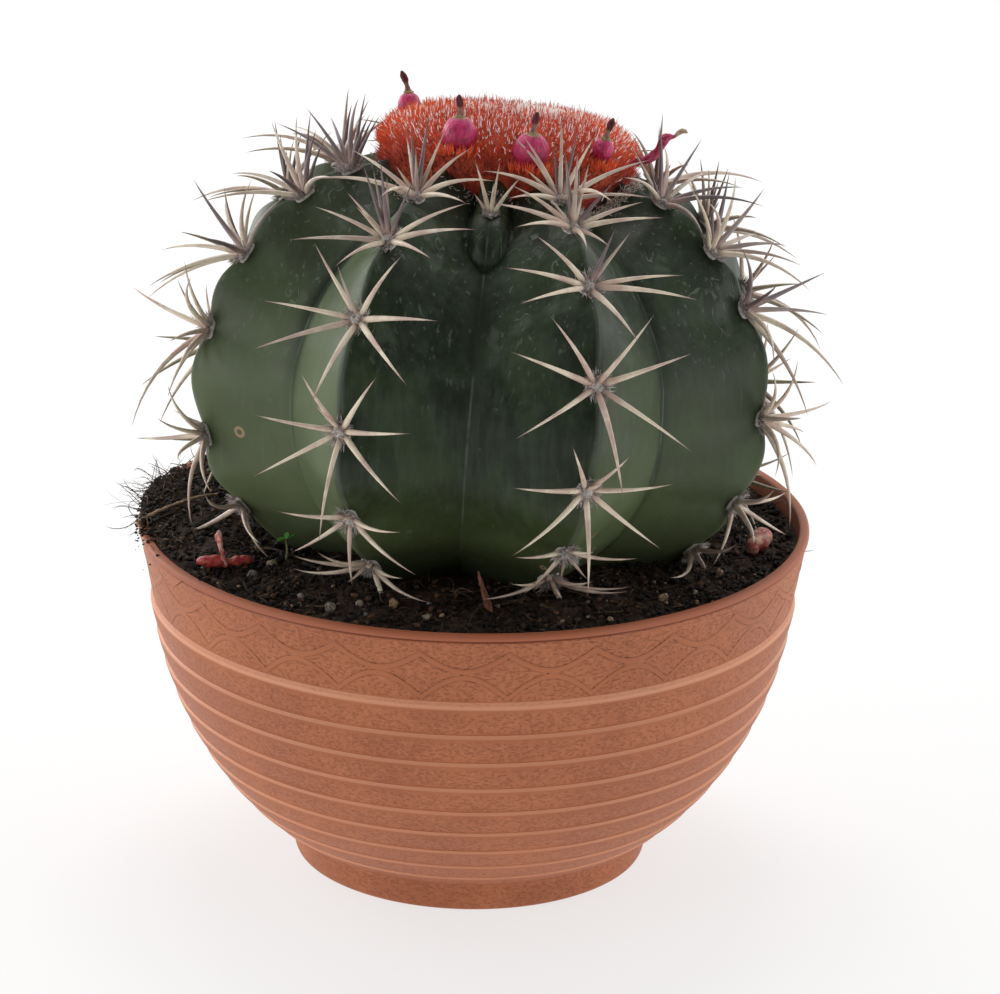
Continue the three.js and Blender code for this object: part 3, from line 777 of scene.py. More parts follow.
# clusters in plain view, listed one by one: clock angle, rise off the skin and length of each spine
handSet = {
    "left_1": [(-125, 40, 25), (-100, 25, 27), (-95, 45, 24), (-75, 25, 25), (-50, 35, 25), (75, 45, 24)],
    "left_2": [(-170, 30, 28), (-115, 25, 25), (-70, 35, 28), (-50, 35, 26), (65, 45, 27), (80, 15, 26),
        (115, 40, 28)],
    "left_3": [(-170, 35, 28), (-125, 35, 25), (-65, 15, 23), (-65, 40, 28), (-10, 30, 20), (40, 15, 23),
        (105, 45, 28)],
    "left_4": [(180, 25, 34), (-80, 35, 29), (30, 40, 25), (55, 35, 29), (100, 40, 29), (125, 30, 25),
        (155, 25, 24)],
    "left_5": [(-90, 40, 24), (30, 25, 25), (50, 40, 26), (85, 35, 27), (115, 20, 25), (155, 30, 26)],
    "left_6": [(-100, 30, 28), (45, 20, 24), (100, 15, 22), (150, 15, 18)],
    "front_left_2": [(-170, 31, 23), (-119, 22, 26), (-86, 22, 22), (-60, 28, 17), (-27, 40, 19),
        (-8, 50, 17), (69, 22, 26), (90, 20, 30), (118, 22, 24)],
    "front_left_3": [(-124, 22, 29), (-93, 22, 25), (-40, 24, 23), (-22, 45, 16), (36, 24, 22),
        (89, 20, 29), (126, 22, 33), (176, 31, 33)],
    "front_left_4": [(-123, 22, 26), (-82, 22, 23), (-27, 24, 20), (-14, 50, 14), (38, 22, 25),
        (78, 20, 27), (119, 22, 29), (174, 31, 30)],
    "front_left_5": [(-120, 22, 20), (-71, 24, 19), (-25, 45, 12), (24, 45, 13), (70, 22, 24),
        (108, 22, 25), (177, 28, 19)],
    "front_right_2": [(-165, 30, 26), (-117, 22, 27), (-94, 20, 28), (-70, 24, 21), (-20, 55, 20),
        (15, 60, 18), (55, 40, 16), (82, 24, 20), (101, 22, 24), (167, 28, 18)],
    "front_right_3": [(-115, 22, 30), (-91, 20, 29), (-58, 24, 21), (25, 45, 17), (42, 30, 18),
        (92, 22, 25), (108, 20, 29), (168, 30, 27)],
    "front_right_4": [(-118, 20, 32), (-74, 20, 31), (-44, 22, 26), (14, 55, 13), (33, 24, 24),
        (69, 22, 26), (127, 22, 30), (179, 31, 34)],
    "front_right_5": [(-123, 22, 28), (-78, 20, 27), (-31, 24, 22), (4, 55, 11), (24, 28, 18),
        (72, 22, 23), (121, 22, 25), (178, 28, 28)],
    "front_right_6": [(-142, 20, 16), (-75, 18, 18), (32, 35, 10), (75, 18, 19), (133, 20, 11),
        (174, 18, 9)],
    "right_1": [(-140, 8, 27), (-75, 15, 25), (55, 20, 25), (75, 40, 26), (90, 20, 25), (125, 30, 25),
        (160, 30, 28)],
    "right_2": [(-70, 35, 27), (-45, 30, 24), (50, 30, 26), (70, 38, 27), (90, 12, 25), (115, 30, 24),
        (145, 35, 25), (170, 30, 29)],
    "right_3": [(-175, 12, 34), (-135, 20, 26), (-85, 45, 27), (-50, 30, 26), (85, 40, 28), (115, 35, 26),
        (170, 30, 34)],
    "right_4": [(-170, 25, 31), (-125, 30, 24), (-75, 45, 26), (-45, 20, 24), (-5, 30, 20), (80, 30, 25),
        (105, 15, 22), (130, 30, 24)],
    "right_5": [(-155, 20, 19), (-85, 35, 29), (-40, 30, 21), (80, 15, 23), (105, 32, 25)],
    "right_6": [(-90, 12, 25), (-68, 22, 22), (-42, 20, 26)],
    "young_1": [(-32, 50, 26), (8, 55, 24), (2, 62, 15), (48, 45, 22), (-55, 40, 12)],
}


def areoleFrame(angle, azimuth):
    here = onSkin(angle, azimuth, skinRadius(angle, azimuth))
    above = onSkin(angle + 3, azimuth, crestRadius(angle + 3))
    below = onSkin(angle - 3, azimuth, crestRadius(angle - 3))
    upRib = unit(above - below)
    across = np.array([math.cos(math.radians(azimuth)), math.sin(math.radians(azimuth)), 0])
    return here, across, upRib, np.cross(across, upRib)


def spinesFor(name, row, angle, rng):
    if name in handSet:
        arch = 0.10 if name.startswith(("left", "right")) else 0.06
        shapes = [(c, r, l, arch if r < 40 else arch / 2) for c, r, l in handSet[name]]
    else:
        shapes = [
            (c + rng.uniform(-8, 8), r + rng.uniform(-4, 5), l * rng.uniform(0.86, 1.08), b)
            for c, r, l, b in usualSpines
        ]
    if row < 2:
        shapes += [
            (c + rng.uniform(-14, 14), r + rng.uniform(-8, 8), l * rng.uniform(0.8, 1.1), b)
            for c, r, l, b in crownSpines
        ]
    if angle < -15 and name not in handSet:
        shapes = [(c * 0.72, r, l * 0.85, b) for c, r, l, b in shapes]
    return shapes


def makeCluster(name, row, angle, azimuth, seed, small=1.0):
    rng = random.Random(seed)
    spot = areoleFrame(angle, azimuth)
    here, across, upRib, out = spot
    c = cluster
    needles = []
    for clock, rise, long, bend in spinesFor(name, row, angle, rng):
        a, e = math.radians(clock), math.radians(rise)
        flat = across * math.sin(a) + upRib * math.cos(a)
        way = flat * math.cos(e) + out * math.sin(e)
        bow = (out * math.cos(e) - flat * math.sin(e)) * bend * rng.uniform(0.7, 1.3)
        thick = c["thick"] * (0.72 + 0.011 * long) * rng.uniform(0.9, 1.1) * (0.6 + 0.4 * small)
        dark = 0.78 if rise >= 40 and row < 3 else 0.3
        if name.startswith(("left", "right")):
            dark += 0.26 if row < 2 else 0.16
        tone = dark + rng.uniform(-0.25, 0.3 if row < 3 else 0.15)
        needles.append((here - out * 0.3 + flat * 0.6, way, bow, long * small, thick, tone))
    spines = plantNeedles("spines_" + name, *zip(*needles), **c["spine"])
    spines.data.materials.append(spineFinish)
    others = [makePad("pad_" + name, spot, small, rng), makeWool("wool_" + name, spot, small, rng)]
    for other in others:
        other.data.materials.append(woolFinish)
    joinInto(spines, *others)
    spines.name = "areole_" + name
    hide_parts("spines_" + name)
    return spines


def makePad(name, spot, small, rng):
    here, across, upRib, out = spot
    c = cluster
    rings, sides = 6, 16
    points = []
    for tilt in np.arange(rings) / rings * math.pi / 2:
        for turn in np.arange(sides) / sides * 2 * math.pi:
            wobble = 1 + 0.12 * math.sin(3 * turn + rng.uniform(0, 1))
            x = c["padWidth"] * small * math.cos(tilt) * math.sin(turn) * wobble
            y = c["padLength"] * small * math.cos(tilt) * math.cos(turn) * wobble
            z = c["padHeight"] * small * (math.sin(tilt) * rng.uniform(0.9, 1.1) - 0.25)
            points.append(here + across * x + upRib * y + out * z)
    faces = [tuple(reversed(f)) for f in rowFaces(rings, sides)]
    count = len(points)
    return addMesh(name, toBowl(points), faces, {"along": [0.2] * count, "tone": [0.5] * count})


def makeWool(name, spot, small, rng):
    here, across, upRib, out = spot
    c = cluster
    hairs = []
    for _ in range(int(c["wool"] * (0.4 + 0.6 * small))):
        turn, far = rng.uniform(0, 2 * math.pi), math.sqrt(rng.random())
        side = across * math.sin(turn) + upRib * math.cos(turn)
        reach = (c["padWidth"] + (c["padLength"] - c["padWidth"]) * abs(math.cos(turn))) * small
        start = here + side * far * reach + out * 0.2 * c["padHeight"]
        lift = rng.uniform(0.25, 1.2)
        spin = rng.uniform(-1.2, 1.2)
        curl = np.cross(out, side)
        way = side * far + out * lift + curl * spin * 0.5
        bow = curl * rng.uniform(-0.25, 0.25) + out * rng.uniform(-0.1, 0.2)
        hairs.append((start, way, bow, rng.uniform(*c["woolLength"]) * small, c["woolThick"], rng.random()))
    return plantNeedles(name, *zip(*hairs), taper=0.5)


spine = {
    "straw": (0.79, 0.68, 0.53),
    "base": (0.50, 0.37, 0.30),
    "rose": (0.50, 0.34, 0.29),
    "tip": (0.15, 0.075, 0.06),
    "dusk": (0.175, 0.128, 0.13),
    "roughness": 0.38,
}


def spineHorn(s):
    m = Finish("spine horn")
    along, tone = m.painted("along"), m.painted("tone")
    pale = m.stops(along, [(0.0, s["base"]), (0.14, s["straw"]), (0.78, s["straw"]), (0.96, s["tip"])])
    dark = m.stops(along, [(0.0, s["rose"]), (0.3, s["dusk"]), (0.8, s["dusk"]), (0.97, s["tip"])])
    blush = m.spread(m.grain(9, 3), 0.40, 0.62, 0, 1)
    m.colour = m.mix(blush, pale, m.mix(0.75, pale, s["rose"]))
    m.coat(m.spread(tone, 0.42, 0.8), dark)
    speckle = m.spread(m.grain(0.9, 4, 0.6), 0.5, 0.8, 0, 0.3)
    m.coat(speckle, s["rose"], mode="MULTIPLY")
    m.feed(m.spread(speckle, 0, 0.3, s["roughness"] - 0.05, s["roughness"] + 0.14))
    return m.raised((m.grain(0.6, 3), 0.04))


def greyWool(light, dark):
    m = Finish("areole wool")
    m.colour = m.mix(m.painted("tone"), dark, light)
    m.coat(m.spread(m.grain(1.0, 3), 0.4, 0.7), dark)
    m.feed(0.9)
    return m.raised((m.grain(0.35, 3), 0.15))


spineFinish = spineHorn(spine)
woolFinish = greyWool((0.84, 0.80, 0.77), (0.36, 0.30, 0.27))

seed = 100
for ribName, (azimuth, areoles) in ribs.items():
    for row, angle in enumerate(areoles):
        makeCluster(f"{ribName}_{row + 1}", row, angle, azimuth, seed)
        seed += 1
makeCluster("young_1", 3, youngRib["areole"], youngRib["azimuth"], seed, 0.6)
print("areoles made")


# ---- the cap: a dark felted dome under rows of white tufts and thousands of red bristles
cap = {
    "offset": 1.4,
    "baseLevel": 64,
    "waistLevel": 78,
    "radius": 35.5,
    "shoulderLevel": 86,
    "topLevel": 90.5,
    "tufts": 1500,
    "bristlesPerTuft": 8,
    "woolPerTuft": 4,
    "bristle": (2.2, 3.4),  # length
    "thick": 0.15,
    "wool": (1.7, 2.3),
    "woolThick": 0.17,
    "sunk": 1.0,  # how deep each hair starts in the felt
    "collarBristles": 150,
    "crownWool": 1500,
    "baseWool": 6500,
    "crown": (6.0, 4.0, 17.0),  # the bare woolly middle: x, y from the axis and radius
}


# the ripe fruits in it: middle in the plant's frame, radius, tilt outwards, bend of the dried flower
fruitPlaces = [
    ((-26.9, 19, 87.9), 3.2, 8, (-0.20, 0.0)),
    ((-12.6, -32, 86.0), 4.7, 6, (-0.06, 0.0)),
    ((7, -35, 83.3), 4.9, 10, (0.05, 0.0)),
    ((26.8, -26, 84.2), 2.9, 12, (0.08, 0.0)),
]


# true for the places that a fruit covers
def underFruit(spots):
    covered = np.zeros(len(spots), bool)
    for middle, radius, _, _ in fruitPlaces:
        covered |= np.linalg.norm(spots - middle, axis=1) < radius + 0.4
    return covered


def capOutline(c):
    return np.array([
        (c["radius"] - 4.5, c["baseLevel"]), (c["radius"] - 1.6, c["baseLevel"] + 6),
        (c["radius"], c["waistLevel"]), (c["radius"] - 0.2, c["waistLevel"] + 3),
        (c["radius"] - 2.0, c["shoulderLevel"] - 2.4), (c["radius"] - 5.6, c["shoulderLevel"] + 0.5),
        (c["radius"] * 0.70, c["shoulderLevel"] + 2.2), (c["radius"] * 0.43, c["topLevel"] - 0.8),
        (0.2, c["topLevel"]),
    ])


# place and outward direction at a share of the way along the outline
def onCap(c, share, turn):
    outline = capOutline(c)
    run = np.append(0, np.cumsum(np.linalg.norm(np.diff(outline, axis=0), axis=1)))
    share = np.asarray(share, float) * run[-1]
    r, z = np.interp(share, run, outline[:, 0]), np.interp(share, run, outline[:, 1])
    dr = np.interp(share + 1.5, run, outline[:, 0]) - np.interp(share - 1.5, run, outline[:, 0])
    dz = np.interp(share + 1.5, run, outline[:, 1]) - np.interp(share - 1.5, run, outline[:, 1])
    ring = np.stack([np.sin(turn), -np.cos(turn), 0 * turn], -1)
    spot = ring * r[..., None] + np.stack([0 * z + c["offset"], 0 * z, z], -1)
    out = unit(ring * dz[..., None] - np.stack([0 * dr, 0 * dr, dr], -1))
    return spot, out


def makeCapDome(c):
    rows, columns = 60, 160
    turns = np.linspace(0, 2 * np.pi, columns, endpoint=False)
    turn, share = np.meshgrid(turns, np.linspace(0, 1, rows))
    spot, out = onCap(c, share, turn)
    spot = spot + out * (0.5 * softNoise(spot, 6, 21) - 0.3)[..., None]
    points = np.concatenate([spot.reshape(-1, 3), [[c["offset"], 0, c["baseLevel"]]]])
    faces = rowFaces(rows, columns, False)
    middle = len(points) - 1
    faces += [(middle, (i + 1) % columns, i) for i in range(columns)]
    return addMesh("cap felt", toBowl(points), faces)


def makeCapHair(c):
    rng = np.random.default_rng(7)
    outline = capOutline(c)
    steps = np.diff(outline, axis=0)
    lengths = np.linalg.norm(steps, axis=1)
    middles = (outline[1:, 0] + outline[:-1, 0]) / 2
    area = np.append(0, np.cumsum(lengths * middles))
    run = np.append(0, np.cumsum(lengths)) / lengths.sum()
    k = (np.arange(c["tufts"]) + 0.5) / c["tufts"]
    share = np.interp(k * area[-1], area, run)
    turn = np.arange(c["tufts"]) * math.radians(137.508)
    spot, out = onCap(c, share, turn)
    spot = spot + rng.normal(0, 0.25, spot.shape)
    upward = np.array([0, 0, 1.0])
    away = spot[:, :2] - [c["offset"] + c["crown"][0], c["crown"][1]]
    bald = 1 - smoothstep(np.linalg.norm(away * [1, 1.25], axis=1), c["crown"][2] * 0.45, c["crown"][2])
    low = 1 - smoothstep(spot[:, 2], c["waistLevel"] - 2, c["shoulderLevel"] - 1)
    facingUp = smoothstep(out[:, 2], 0.2, 0.9)

    def hairs(name, perTuft, length, thick, tone, scatter, keep, **shape):
        n = len(spot) * perTuft
        at = np.repeat(spot, perTuft, axis=0)
        normal = np.repeat(out, perTuft, axis=0)
        use = rng.random(n) < np.repeat(keep, perTuft)
        at = at + rng.normal(0, scatter, at.shape)
        use &= ~underFruit(at)
        lowEach = np.repeat(low, perTuft)[:, None]
        way = normal * (1 - 0.35 * lowEach) + upward * (0.35 + 0.5 * lowEach)
        way = unit(way + rng.normal(0, 0.24, at.shape))
        start = at - normal * c["sunk"]
        long = rng.uniform(*length, n) * (1 + 0.35 * lowEach[:, 0])
        bow = rng.normal(0, 0.05, at.shape)
        tones = np.clip(tone(at) + rng.normal(0, 0.16, n), 0, 1)
        return plantNeedles(name, start[use], way[use], bow[use], long[use], thick, tones[use], **shape)

    # painted light: bristles at the sides, where the side lights fall, get a lighter orange, and low on the
    # front a painted shade darkens them
    def sideLitFrontShaded(at):
        around = np.arctan2(at[:, 0] - c["offset"], -at[:, 1])
        edge = smoothstep(np.abs(np.sin(around)), 0.75, 1)
        front = (1 - smoothstep(at[:, 2], c["waistLevel"] - 8, c["waistLevel"] + 6))
        return 0.5 + 0.4 * edge - 0.8 * front

    red = hairs(
        "red bristles", c["bristlesPerTuft"], c["bristle"], c["thick"], sideLitFrontShaded, 0.62,
        1 - 0.8 * bald, taper=0.75,
    )
    white = hairs(
        "white wool", c["woolPerTuft"], c["wool"], c["woolThick"], lambda at: 0.9, 0.42,
        (1.0 - 0.97 * low) * (0.5 + 0.5 * facingUp), rings=2, taper=0.3,
    )
    return red, white, makeCrownWool(c, rng)


# longer bristles that close round the foot of each fruit
def makeFruitCollars(c, places):
    rng = np.random.default_rng(19)
    start, way, length = [], [], []
    for middle, radius, _, _ in places:
        for _ in range(c["collarBristles"]):
            turn = rng.uniform(0, 2 * np.pi)
            side = np.array([np.sin(turn), -np.cos(turn), 0])
            foot = np.array(middle) + side * radius * rng.uniform(0.85, 1.25)
            start.append(foot - [0, 0, rng.uniform(5.0, 6.8)])
            way.append(side * 0.3 + np.array([0, 0, 1.0]) + rng.normal(0, 0.18, 3))
            length.append(rng.uniform(2.6, 4.0))
    n = len(start)
    way = np.array(way) @ lean.T
    bow = rng.normal(0, 0.04, (n, 3))
    tone = rng.uniform(0.3, 0.9, n)
    length, thick = np.array(length) * mm, 0.16 * mm
    return addNeedles("fruit collars", toBowl(start), way, bow, length, thick, tone, taper=0.75)


def makeCrownWool(c, rng):
    n = c["crownWool"]
    angle = rng.uniform(0, 2 * np.pi, n)
    far = rng.random(n) ** 0.7 * c["crown"][2] * 1.15
    x = c["crown"][0] + far * np.cos(angle) * 1.05
    y = c["crown"][1] + far * np.sin(angle) * 0.85
    radius = np.hypot(x, y)
    outline = capOutline(c)
    order = np.argsort(outline[:, 0])
    z = np.interp(radius, outline[order, 0], outline[order, 1])
    start = np.stack([x + c["offset"], y, z - 0.4], -1)
    way = np.stack([rng.normal(0, 0.9, n), rng.normal(0, 0.9, n), rng.uniform(0.4, 1.2, n)], -1)
    bow = rng.normal(0, 0.15, (n, 3))
    length = rng.uniform(1.4, 2.6, n)
    return plantNeedles("crown wool", start, way, bow, length, 0.14, rng.uniform(0.4, 1, n))


def makeBaseWool(c):
    rng = np.random.default_rng(12)
    n = c["baseWool"]
    turn = rng.uniform(0, 2 * np.pi, n)
    # the collar of wool is thicker on the right and behind
    keep = rng.random(n) < 0.10 + 0.75 * smoothstep(np.sin(turn), 0.1, 0.8)
    turn = turn[keep]
    n = len(turn)
    angle = 90 - np.degrees(np.arctan2(c["radius"] + 0.3, c["baseLevel"] + rng.uniform(0, 6, n)))
    azimuth = np.degrees(turn)
    r = skinRadius(angle, azimuth)
    start = onSkin(angle, azimuth, r + 0.1)
    start[:, 0] += c["offset"] * 0.8
    out = unit(start - [c["offset"], 0, 40])
    way = out * 0.6 + rng.normal(0, 0.6, (n, 3))
    bow = rng.normal(0, 0.15, (n, 3))
    return plantNeedles("base wool", start, way, bow, rng.uniform(0.9, 2.1, n), 0.14, rng.random(n))


bristle = {
    "root": (0.60, 0.080, 0.030),
    "orange": (1.0, 0.20, 0.038),
    "crimson": (0.62, 0.055, 0.030),
    "dark": (0.14, 0.022, 0.016),
    "tip": (0.22, 0.028, 0.022),
    "glow": 0.15,
}


def redBristle(b):
    m = Finish("red bristle")
    tone, along = m.painted("tone"), m.painted("along")
    body = m.stops(tone, [(0.0, b["dark"]), (0.35, b["crimson"]), (1.0, b["orange"])])
    foot = m.mix(m.spread(tone, 0.0, 0.4), b["dark"], b["root"])
    m.colour = m.mix(m.spread(along, 0.0, 0.35), foot, body)
    m.coat(m.spread(along, 0.45, 0.95), b["tip"])
    m.coat(m.spread(m.grain(1.2, 3), 0.45, 0.75, 0, 0.35), foot)
    m.feed(m.spread(tone, 0, 1, 0.45, 0.3))
    # light comes through the bristles, and a faint painted glow stands in for more of it
    m.soften(0.35, (0.0012, 0.0002, 0.0001))
    m.glow(b["glow"])
    return m.raised((m.grain(0.4, 2), 0.03))


def feltRed(b):
    m = Finish("cap felt")
    reds = [(0.0, (0.24, 0.05, 0.03)), (0.6, b["root"]), (1.0, (0.08, 0.012, 0.008))]
    m.colour = m.stops(m.cells(1.1), reds)
    m.feed(0.9)
    return m.raised((m.grain(0.8, 4), 0.5))


def paleWool():
    m = Finish("cap wool")
    tone = m.painted("tone")
    m.colour = m.mix(tone, (0.80, 0.60, 0.54), (0.98, 0.95, 0.92))
    m.coat(m.spread(m.grain(2.2, 3), 0.5, 0.75, 0, 0.3), (0.55, 0.30, 0.22))
    m.feed(0.85)
    # painted light: the wool is given a faint glow of its own, standing in for light that comes through it
    m.glow(0.2)  # light comes through the wool too
    return m.raised((m.grain(0.4, 2), 0.05))


redFinish, woolPale = redBristle(bristle), paleWool()
dome = makeCapDome(cap)
dome.data.materials.append(feltRed(bristle))
hairRed, hairWhite, crownWool = makeCapHair(cap)
baseWool = makeBaseWool(cap)
hairRed.data.materials.append(redFinish)
for piece in (hairWhite, crownWool):
    piece.data.materials.append(woolPale)
baseWool.data.materials.append(greyWool((0.88, 0.82, 0.75), (0.58, 0.48, 0.41)))
capPiece = joinInto(dome, hairRed, hairWhite, crownWool)
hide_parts("cephalium")
print("cap made")


# ---- ripe fruits in the cap, each with the dried flower still on it
fruit = {
    "profile": [
        (0.10, -5.6), (0.32, -5.45), (0.58, -5.0), (0.79, -4.2), (0.93, -3.0), (1.0, -1.6), (1.0, -0.4),
        (0.95, 0.8), (0.86, 1.8), (0.73, 2.7), (0.58, 3.35), (0.44, 3.75), (0.35, 3.9), (0.30, 3.95),
    ],
    "flower": [
        (1.45, 3.85), (1.35, 4.1), (1.0, 4.3), (0.75, 4.7), (0.62, 5.3), (0.58, 5.9), (0.66, 6.5),
        (0.84, 7.2), (0.92, 7.9), (0.86, 8.6), (0.6, 9.3), (0.22, 9.9),
    ],
    "sides": 40,
}


def makeFruit(number, middle, radius, tilt, bend):
    f = fruit
    body = np.array([(r * radius, z * radius / 4.7) for r, z in f["profile"]])
    flower = np.array(f["flower"])
    flower[:, 1] = flower[:, 1] - f["flower"][0][1] + body[-1, 1]
    profile = np.concatenate([body, flower])
    grid = turnProfile(profile, f["sides"])
    turn = np.arctan2(grid[..., 0], -grid[..., 1])
    level = grid[..., 2]
    dry = smoothstep(level, body[-1, 1] - 0.2, body[-1, 1] + 0.4)
    lumps = 0.018 * np.sin(turn * 5 + number) + 0.02 * np.sin(turn * 3 + level + number)
    lumps = (lumps + 0.012 * np.sin(turn * 13 + 2 * np.sin(level))) * (1 - dry)
    crinkle = dry * (0.16 * np.sin(turn * 6 + level * 1.4) + 0.08 * np.sin(turn * 11 - level * 2.6))
    grid[..., :2] *= (1 + lumps + crinkle)[..., None]
    above = np.clip(level - body[-1, 1], 0, None).reshape(-1)
    t, turnOut = math.radians(tilt), math.atan2(middle[0] - cap["offset"], -middle[1])
    about = np.array([[1, 0, 0], [0, math.cos(t), -math.sin(t)], [0, math.sin(t), math.cos(t)]])
    c, s = math.cos(turnOut), math.sin(turnOut)
    about = np.array([[c, -s, 0], [s, c, 0], [0, 0, 1]]) @ about
    points = grid.reshape(-1, 3) @ about.T + middle
    points[:, :2] += np.outer(above ** 1.2, bend)
    share = np.repeat(profile[:, 1] - body[-1, 1], f["sides"])
    piece = addMesh(f"fruit {number}", toBowl(points), rowFaces(len(profile), f["sides"]), {
        "level": share, "turn": turn.reshape(-1),
    })
    dress(piece, fruitFinish)
    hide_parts(f"fruit_{number}")


fruitLook = {
    "deep": (0.42, 0.008, 0.065),
    "pink": (0.62, 0.024, 0.15),
    "bloom": (0.72, 0.15, 0.32),
    "collar": (0.42, 0.30, 0.16),
    "neck": (0.32, 0.20, 0.16),
    "bud": (0.13, 0.02, 0.03),
}


def fruitSkin(f):
    m = Finish("fruit skin")
    level = m.painted("level")
    lit = m.spread(level, -9, -1)
    m.colour = m.mix(lit, f["deep"], f["pink"])
    streak = m.spread(m.grain(1.1, 3, 0.5, (3, 3, 0.35)), 0.52, 0.72)
    bloomy = m.times(streak, m.spread(level, -8, -1, 0.12, 0.42))
    m.coat(bloomy, f["bloom"])
    m.coat(m.spread(level, -0.35, -0.1), f["collar"])
    m.coat(m.spread(level, 0.3, 0.9), f["neck"])
    m.coat(m.spread(level, 2.0, 3.4), f["bud"])
    mottled = m.spread(m.grain(1.4, 4), 0.4, 0.7, 0, 0.6)
    m.coat(mottled, (0.30, 0.05, 0.08), mode="MULTIPLY")
    m.feed(m.spread(level, -0.5, 0.6, 0.38, 0.8))
    m.soften(0.12, (0.002, 0.0006, 0.0008))
    wrinkles = m.grain(1.2, 3, 0.5, (2.2, 2.2, 0.5))
    return m.raised((m.grain(1.5, 3), 0.12), (wrinkles, 0.35))


collars = makeFruitCollars(cap, fruitPlaces)
collars.data.materials.append(redFinish)
fruitFinish = fruitSkin(fruitLook)
for i, (middle, radius, tilt, bend) in enumerate(fruitPlaces):
    makeFruit(i + 1, middle, radius, tilt, bend)


# a smooth run through given knots
def through(knots, count):
    knots = np.asarray(knots, float)
    x = np.linspace(0, len(knots) - 1, count)
    i = np.clip(x.astype(int), 0, len(knots) - 2)
    t = (x - i)[:, None]
    before, after = knots[np.maximum(i - 1, 0)], knots[np.minimum(i + 2, len(knots) - 1)]
    p, q = knots[i], knots[i + 1]
    return 0.5 * (
        2 * p + (q - before) * t + (2 * before - 5 * p + 4 * q - after) * t ** 2
        + (3 * p - before - 3 * q + after) * t ** 3
    )


# a wavering tube for shrivelled fruits, twigs and stems: each knot has a place and a radius
def addTube(name, knots, rows, sides=14, flat=1.0, lumps=0.0, seed=0, slim=1.0):
    rings = through(knots, rows)
    path, radii = rings[:, :3], rings[:, 3] * slim
    ahead = unit(np.gradient(path, axis=0))
    side = unit(np.cross(ahead, [0.13, 0.2, 1.0]))
    over = np.cross(side, ahead)
    turn = np.arange(sides) / sides * 2 * np.pi
    ring = side[:, None] * np.cos(turn)[:, None] + over[:, None] * (np.sin(turn) * flat)[:, None]
    points = path[:, None] + ring * radii[:, None, None]
    if lumps:
        away = softNoise(points, lumps * 6, seed)[..., None] * lumps
        points = points + ring * away
    values = {"along": np.repeat(np.linspace(0, 1, rows), sides), "tone": np.full(rows * sides, 0.5)}
    faces = [tuple(reversed(f)) for f in rowFaces(rows, sides)]
    return addMesh(name, points.reshape(-1, 3) * mm, faces, values)


# ---- a shrivelled fruit that hangs zigzag out of the cap's right side
dried = {
    "knots": [
        (33, -7, 77.4, 1.4), (37.6, -8, 79.2, 1.9), (40.8, -8.5, 80.6, 2.2), (42.9, -9, 83.4, 1.6),
        (44.4, -9.5, 86.4, 2.2), (46.6, -10, 87.3, 1.0), (48.8, -10.5, 88.9, 1.2), (50.4, -11, 88.6, 0.35),
    ],
    "magenta": (0.36, 0.012, 0.06),
    "light": (0.62, 0.09, 0.20),
    "tan": (0.50, 0.38, 0.26),
}


def driedSkin(d):
    m = Finish("dried fruit skin")
    along = m.painted("along")
    m.colour = m.mix(m.spread(m.grain(1.6, 4), 0.4, 0.68), d["magenta"], d["light"])
    m.coat(m.spread(along, 0.70, 0.78), d["tan"])
    m.feed(m.spread(m.grain(2, 3), 0.3, 0.7, 0.4, 0.75))
    return m.raised((m.grain(1.1, 4, 0.7), 0.5))


def makeDried(d):
    piece = addTube("dried fruit", d["knots"], 60, 18, 0.7, 0.35, 3, slim=0.82)
    coords = np.empty(len(piece.data.vertices) * 3)
    piece.data.vertices.foreach_get("co", coords)
    piece.data.vertices.foreach_set("co", toBowl(coords.reshape(-1, 3) / mm).ravel())
    return piece


driedPiece = dress(makeDried(dried), driedSkin(dried))
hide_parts("dried_fruit")
print("fruits made")


# ---- the soil: a lumpy bed, crumbs, grit and root fibres, heaped over the left lip
soil = {
    "edge": 94.4,
    "middle": 98.5,
    "middleRadius": 60,
    "heap": 6.5,
    "heapAzimuth": -92,
    "heapSpread": 42,
    "radius": 91.8,
    "columns": 420,
    "rows": 110,
    "lumps": 12000,
    "fibres": 900,
    "spilled": 900,  # crumbs on the left lip, then roots, each with the azimuth of its middle
    "spilledAzimuth": -93,
    "matted": 230,
    "mattedAzimuth": -95,
    "grit": 170,
}


def soilLevel(x, y):
    s = soil
    radius = np.hypot(x, y)
    azimuth = np.degrees(np.arctan2(x, -y))
    heap = np.exp(-(turnDegrees(azimuth, s["heapAzimuth"]) / s["heapSpread"]) ** 2)
    level = s["edge"] + (s["middle"] - s["edge"]) * (1 - smoothstep(radius, s["middleRadius"], 85))
    return level + s["heap"] * heap * smoothstep(radius, 55, 80)


def makeSoil(s):
    rows = np.linspace(38, s["radius"], s["rows"])
    turns = np.linspace(0, 2 * np.pi, s["columns"], endpoint=False)
    turn, radius = np.meshgrid(turns, rows)
    x, y = radius * np.sin(turn), -radius * np.cos(turn)
    flat = np.stack([x, y, 0 * x], -1)
    bumps = 0.9 * softNoise(flat, 14, 31) + 0.7 * np.abs(softNoise(flat, 6, 32))
    bumps = bumps + 0.5 * softNoise(flat, 2.4, 33)
    bumps *= 1 - 0.75 * smoothstep(radius, s["radius"] - 3, s["radius"])
    z = soilLevel(x, y) + bumps - 0.5
    top = np.stack([x, y, z], -1).reshape(-1, 3)
    under = np.stack([x, y, 0 * z + 88], -1)
    outer, inner = under[-1].reshape(-1, 3) * [0.97, 0.97, 1], under[0].reshape(-1, 3)
    count = s["columns"]
    points = np.concatenate([inner, top, outer])
    faces = rowFaces(s["rows"] + 2, count, False, False)
    last = (s["rows"] + 1) * count
    faces += [(last + i, last + (i + 1) % count, (i + 1) % count, i) for i in range(count)]
    return addMesh("soil bed", points * mm, faces, {"tone": np.full(len(points), 0.4)})


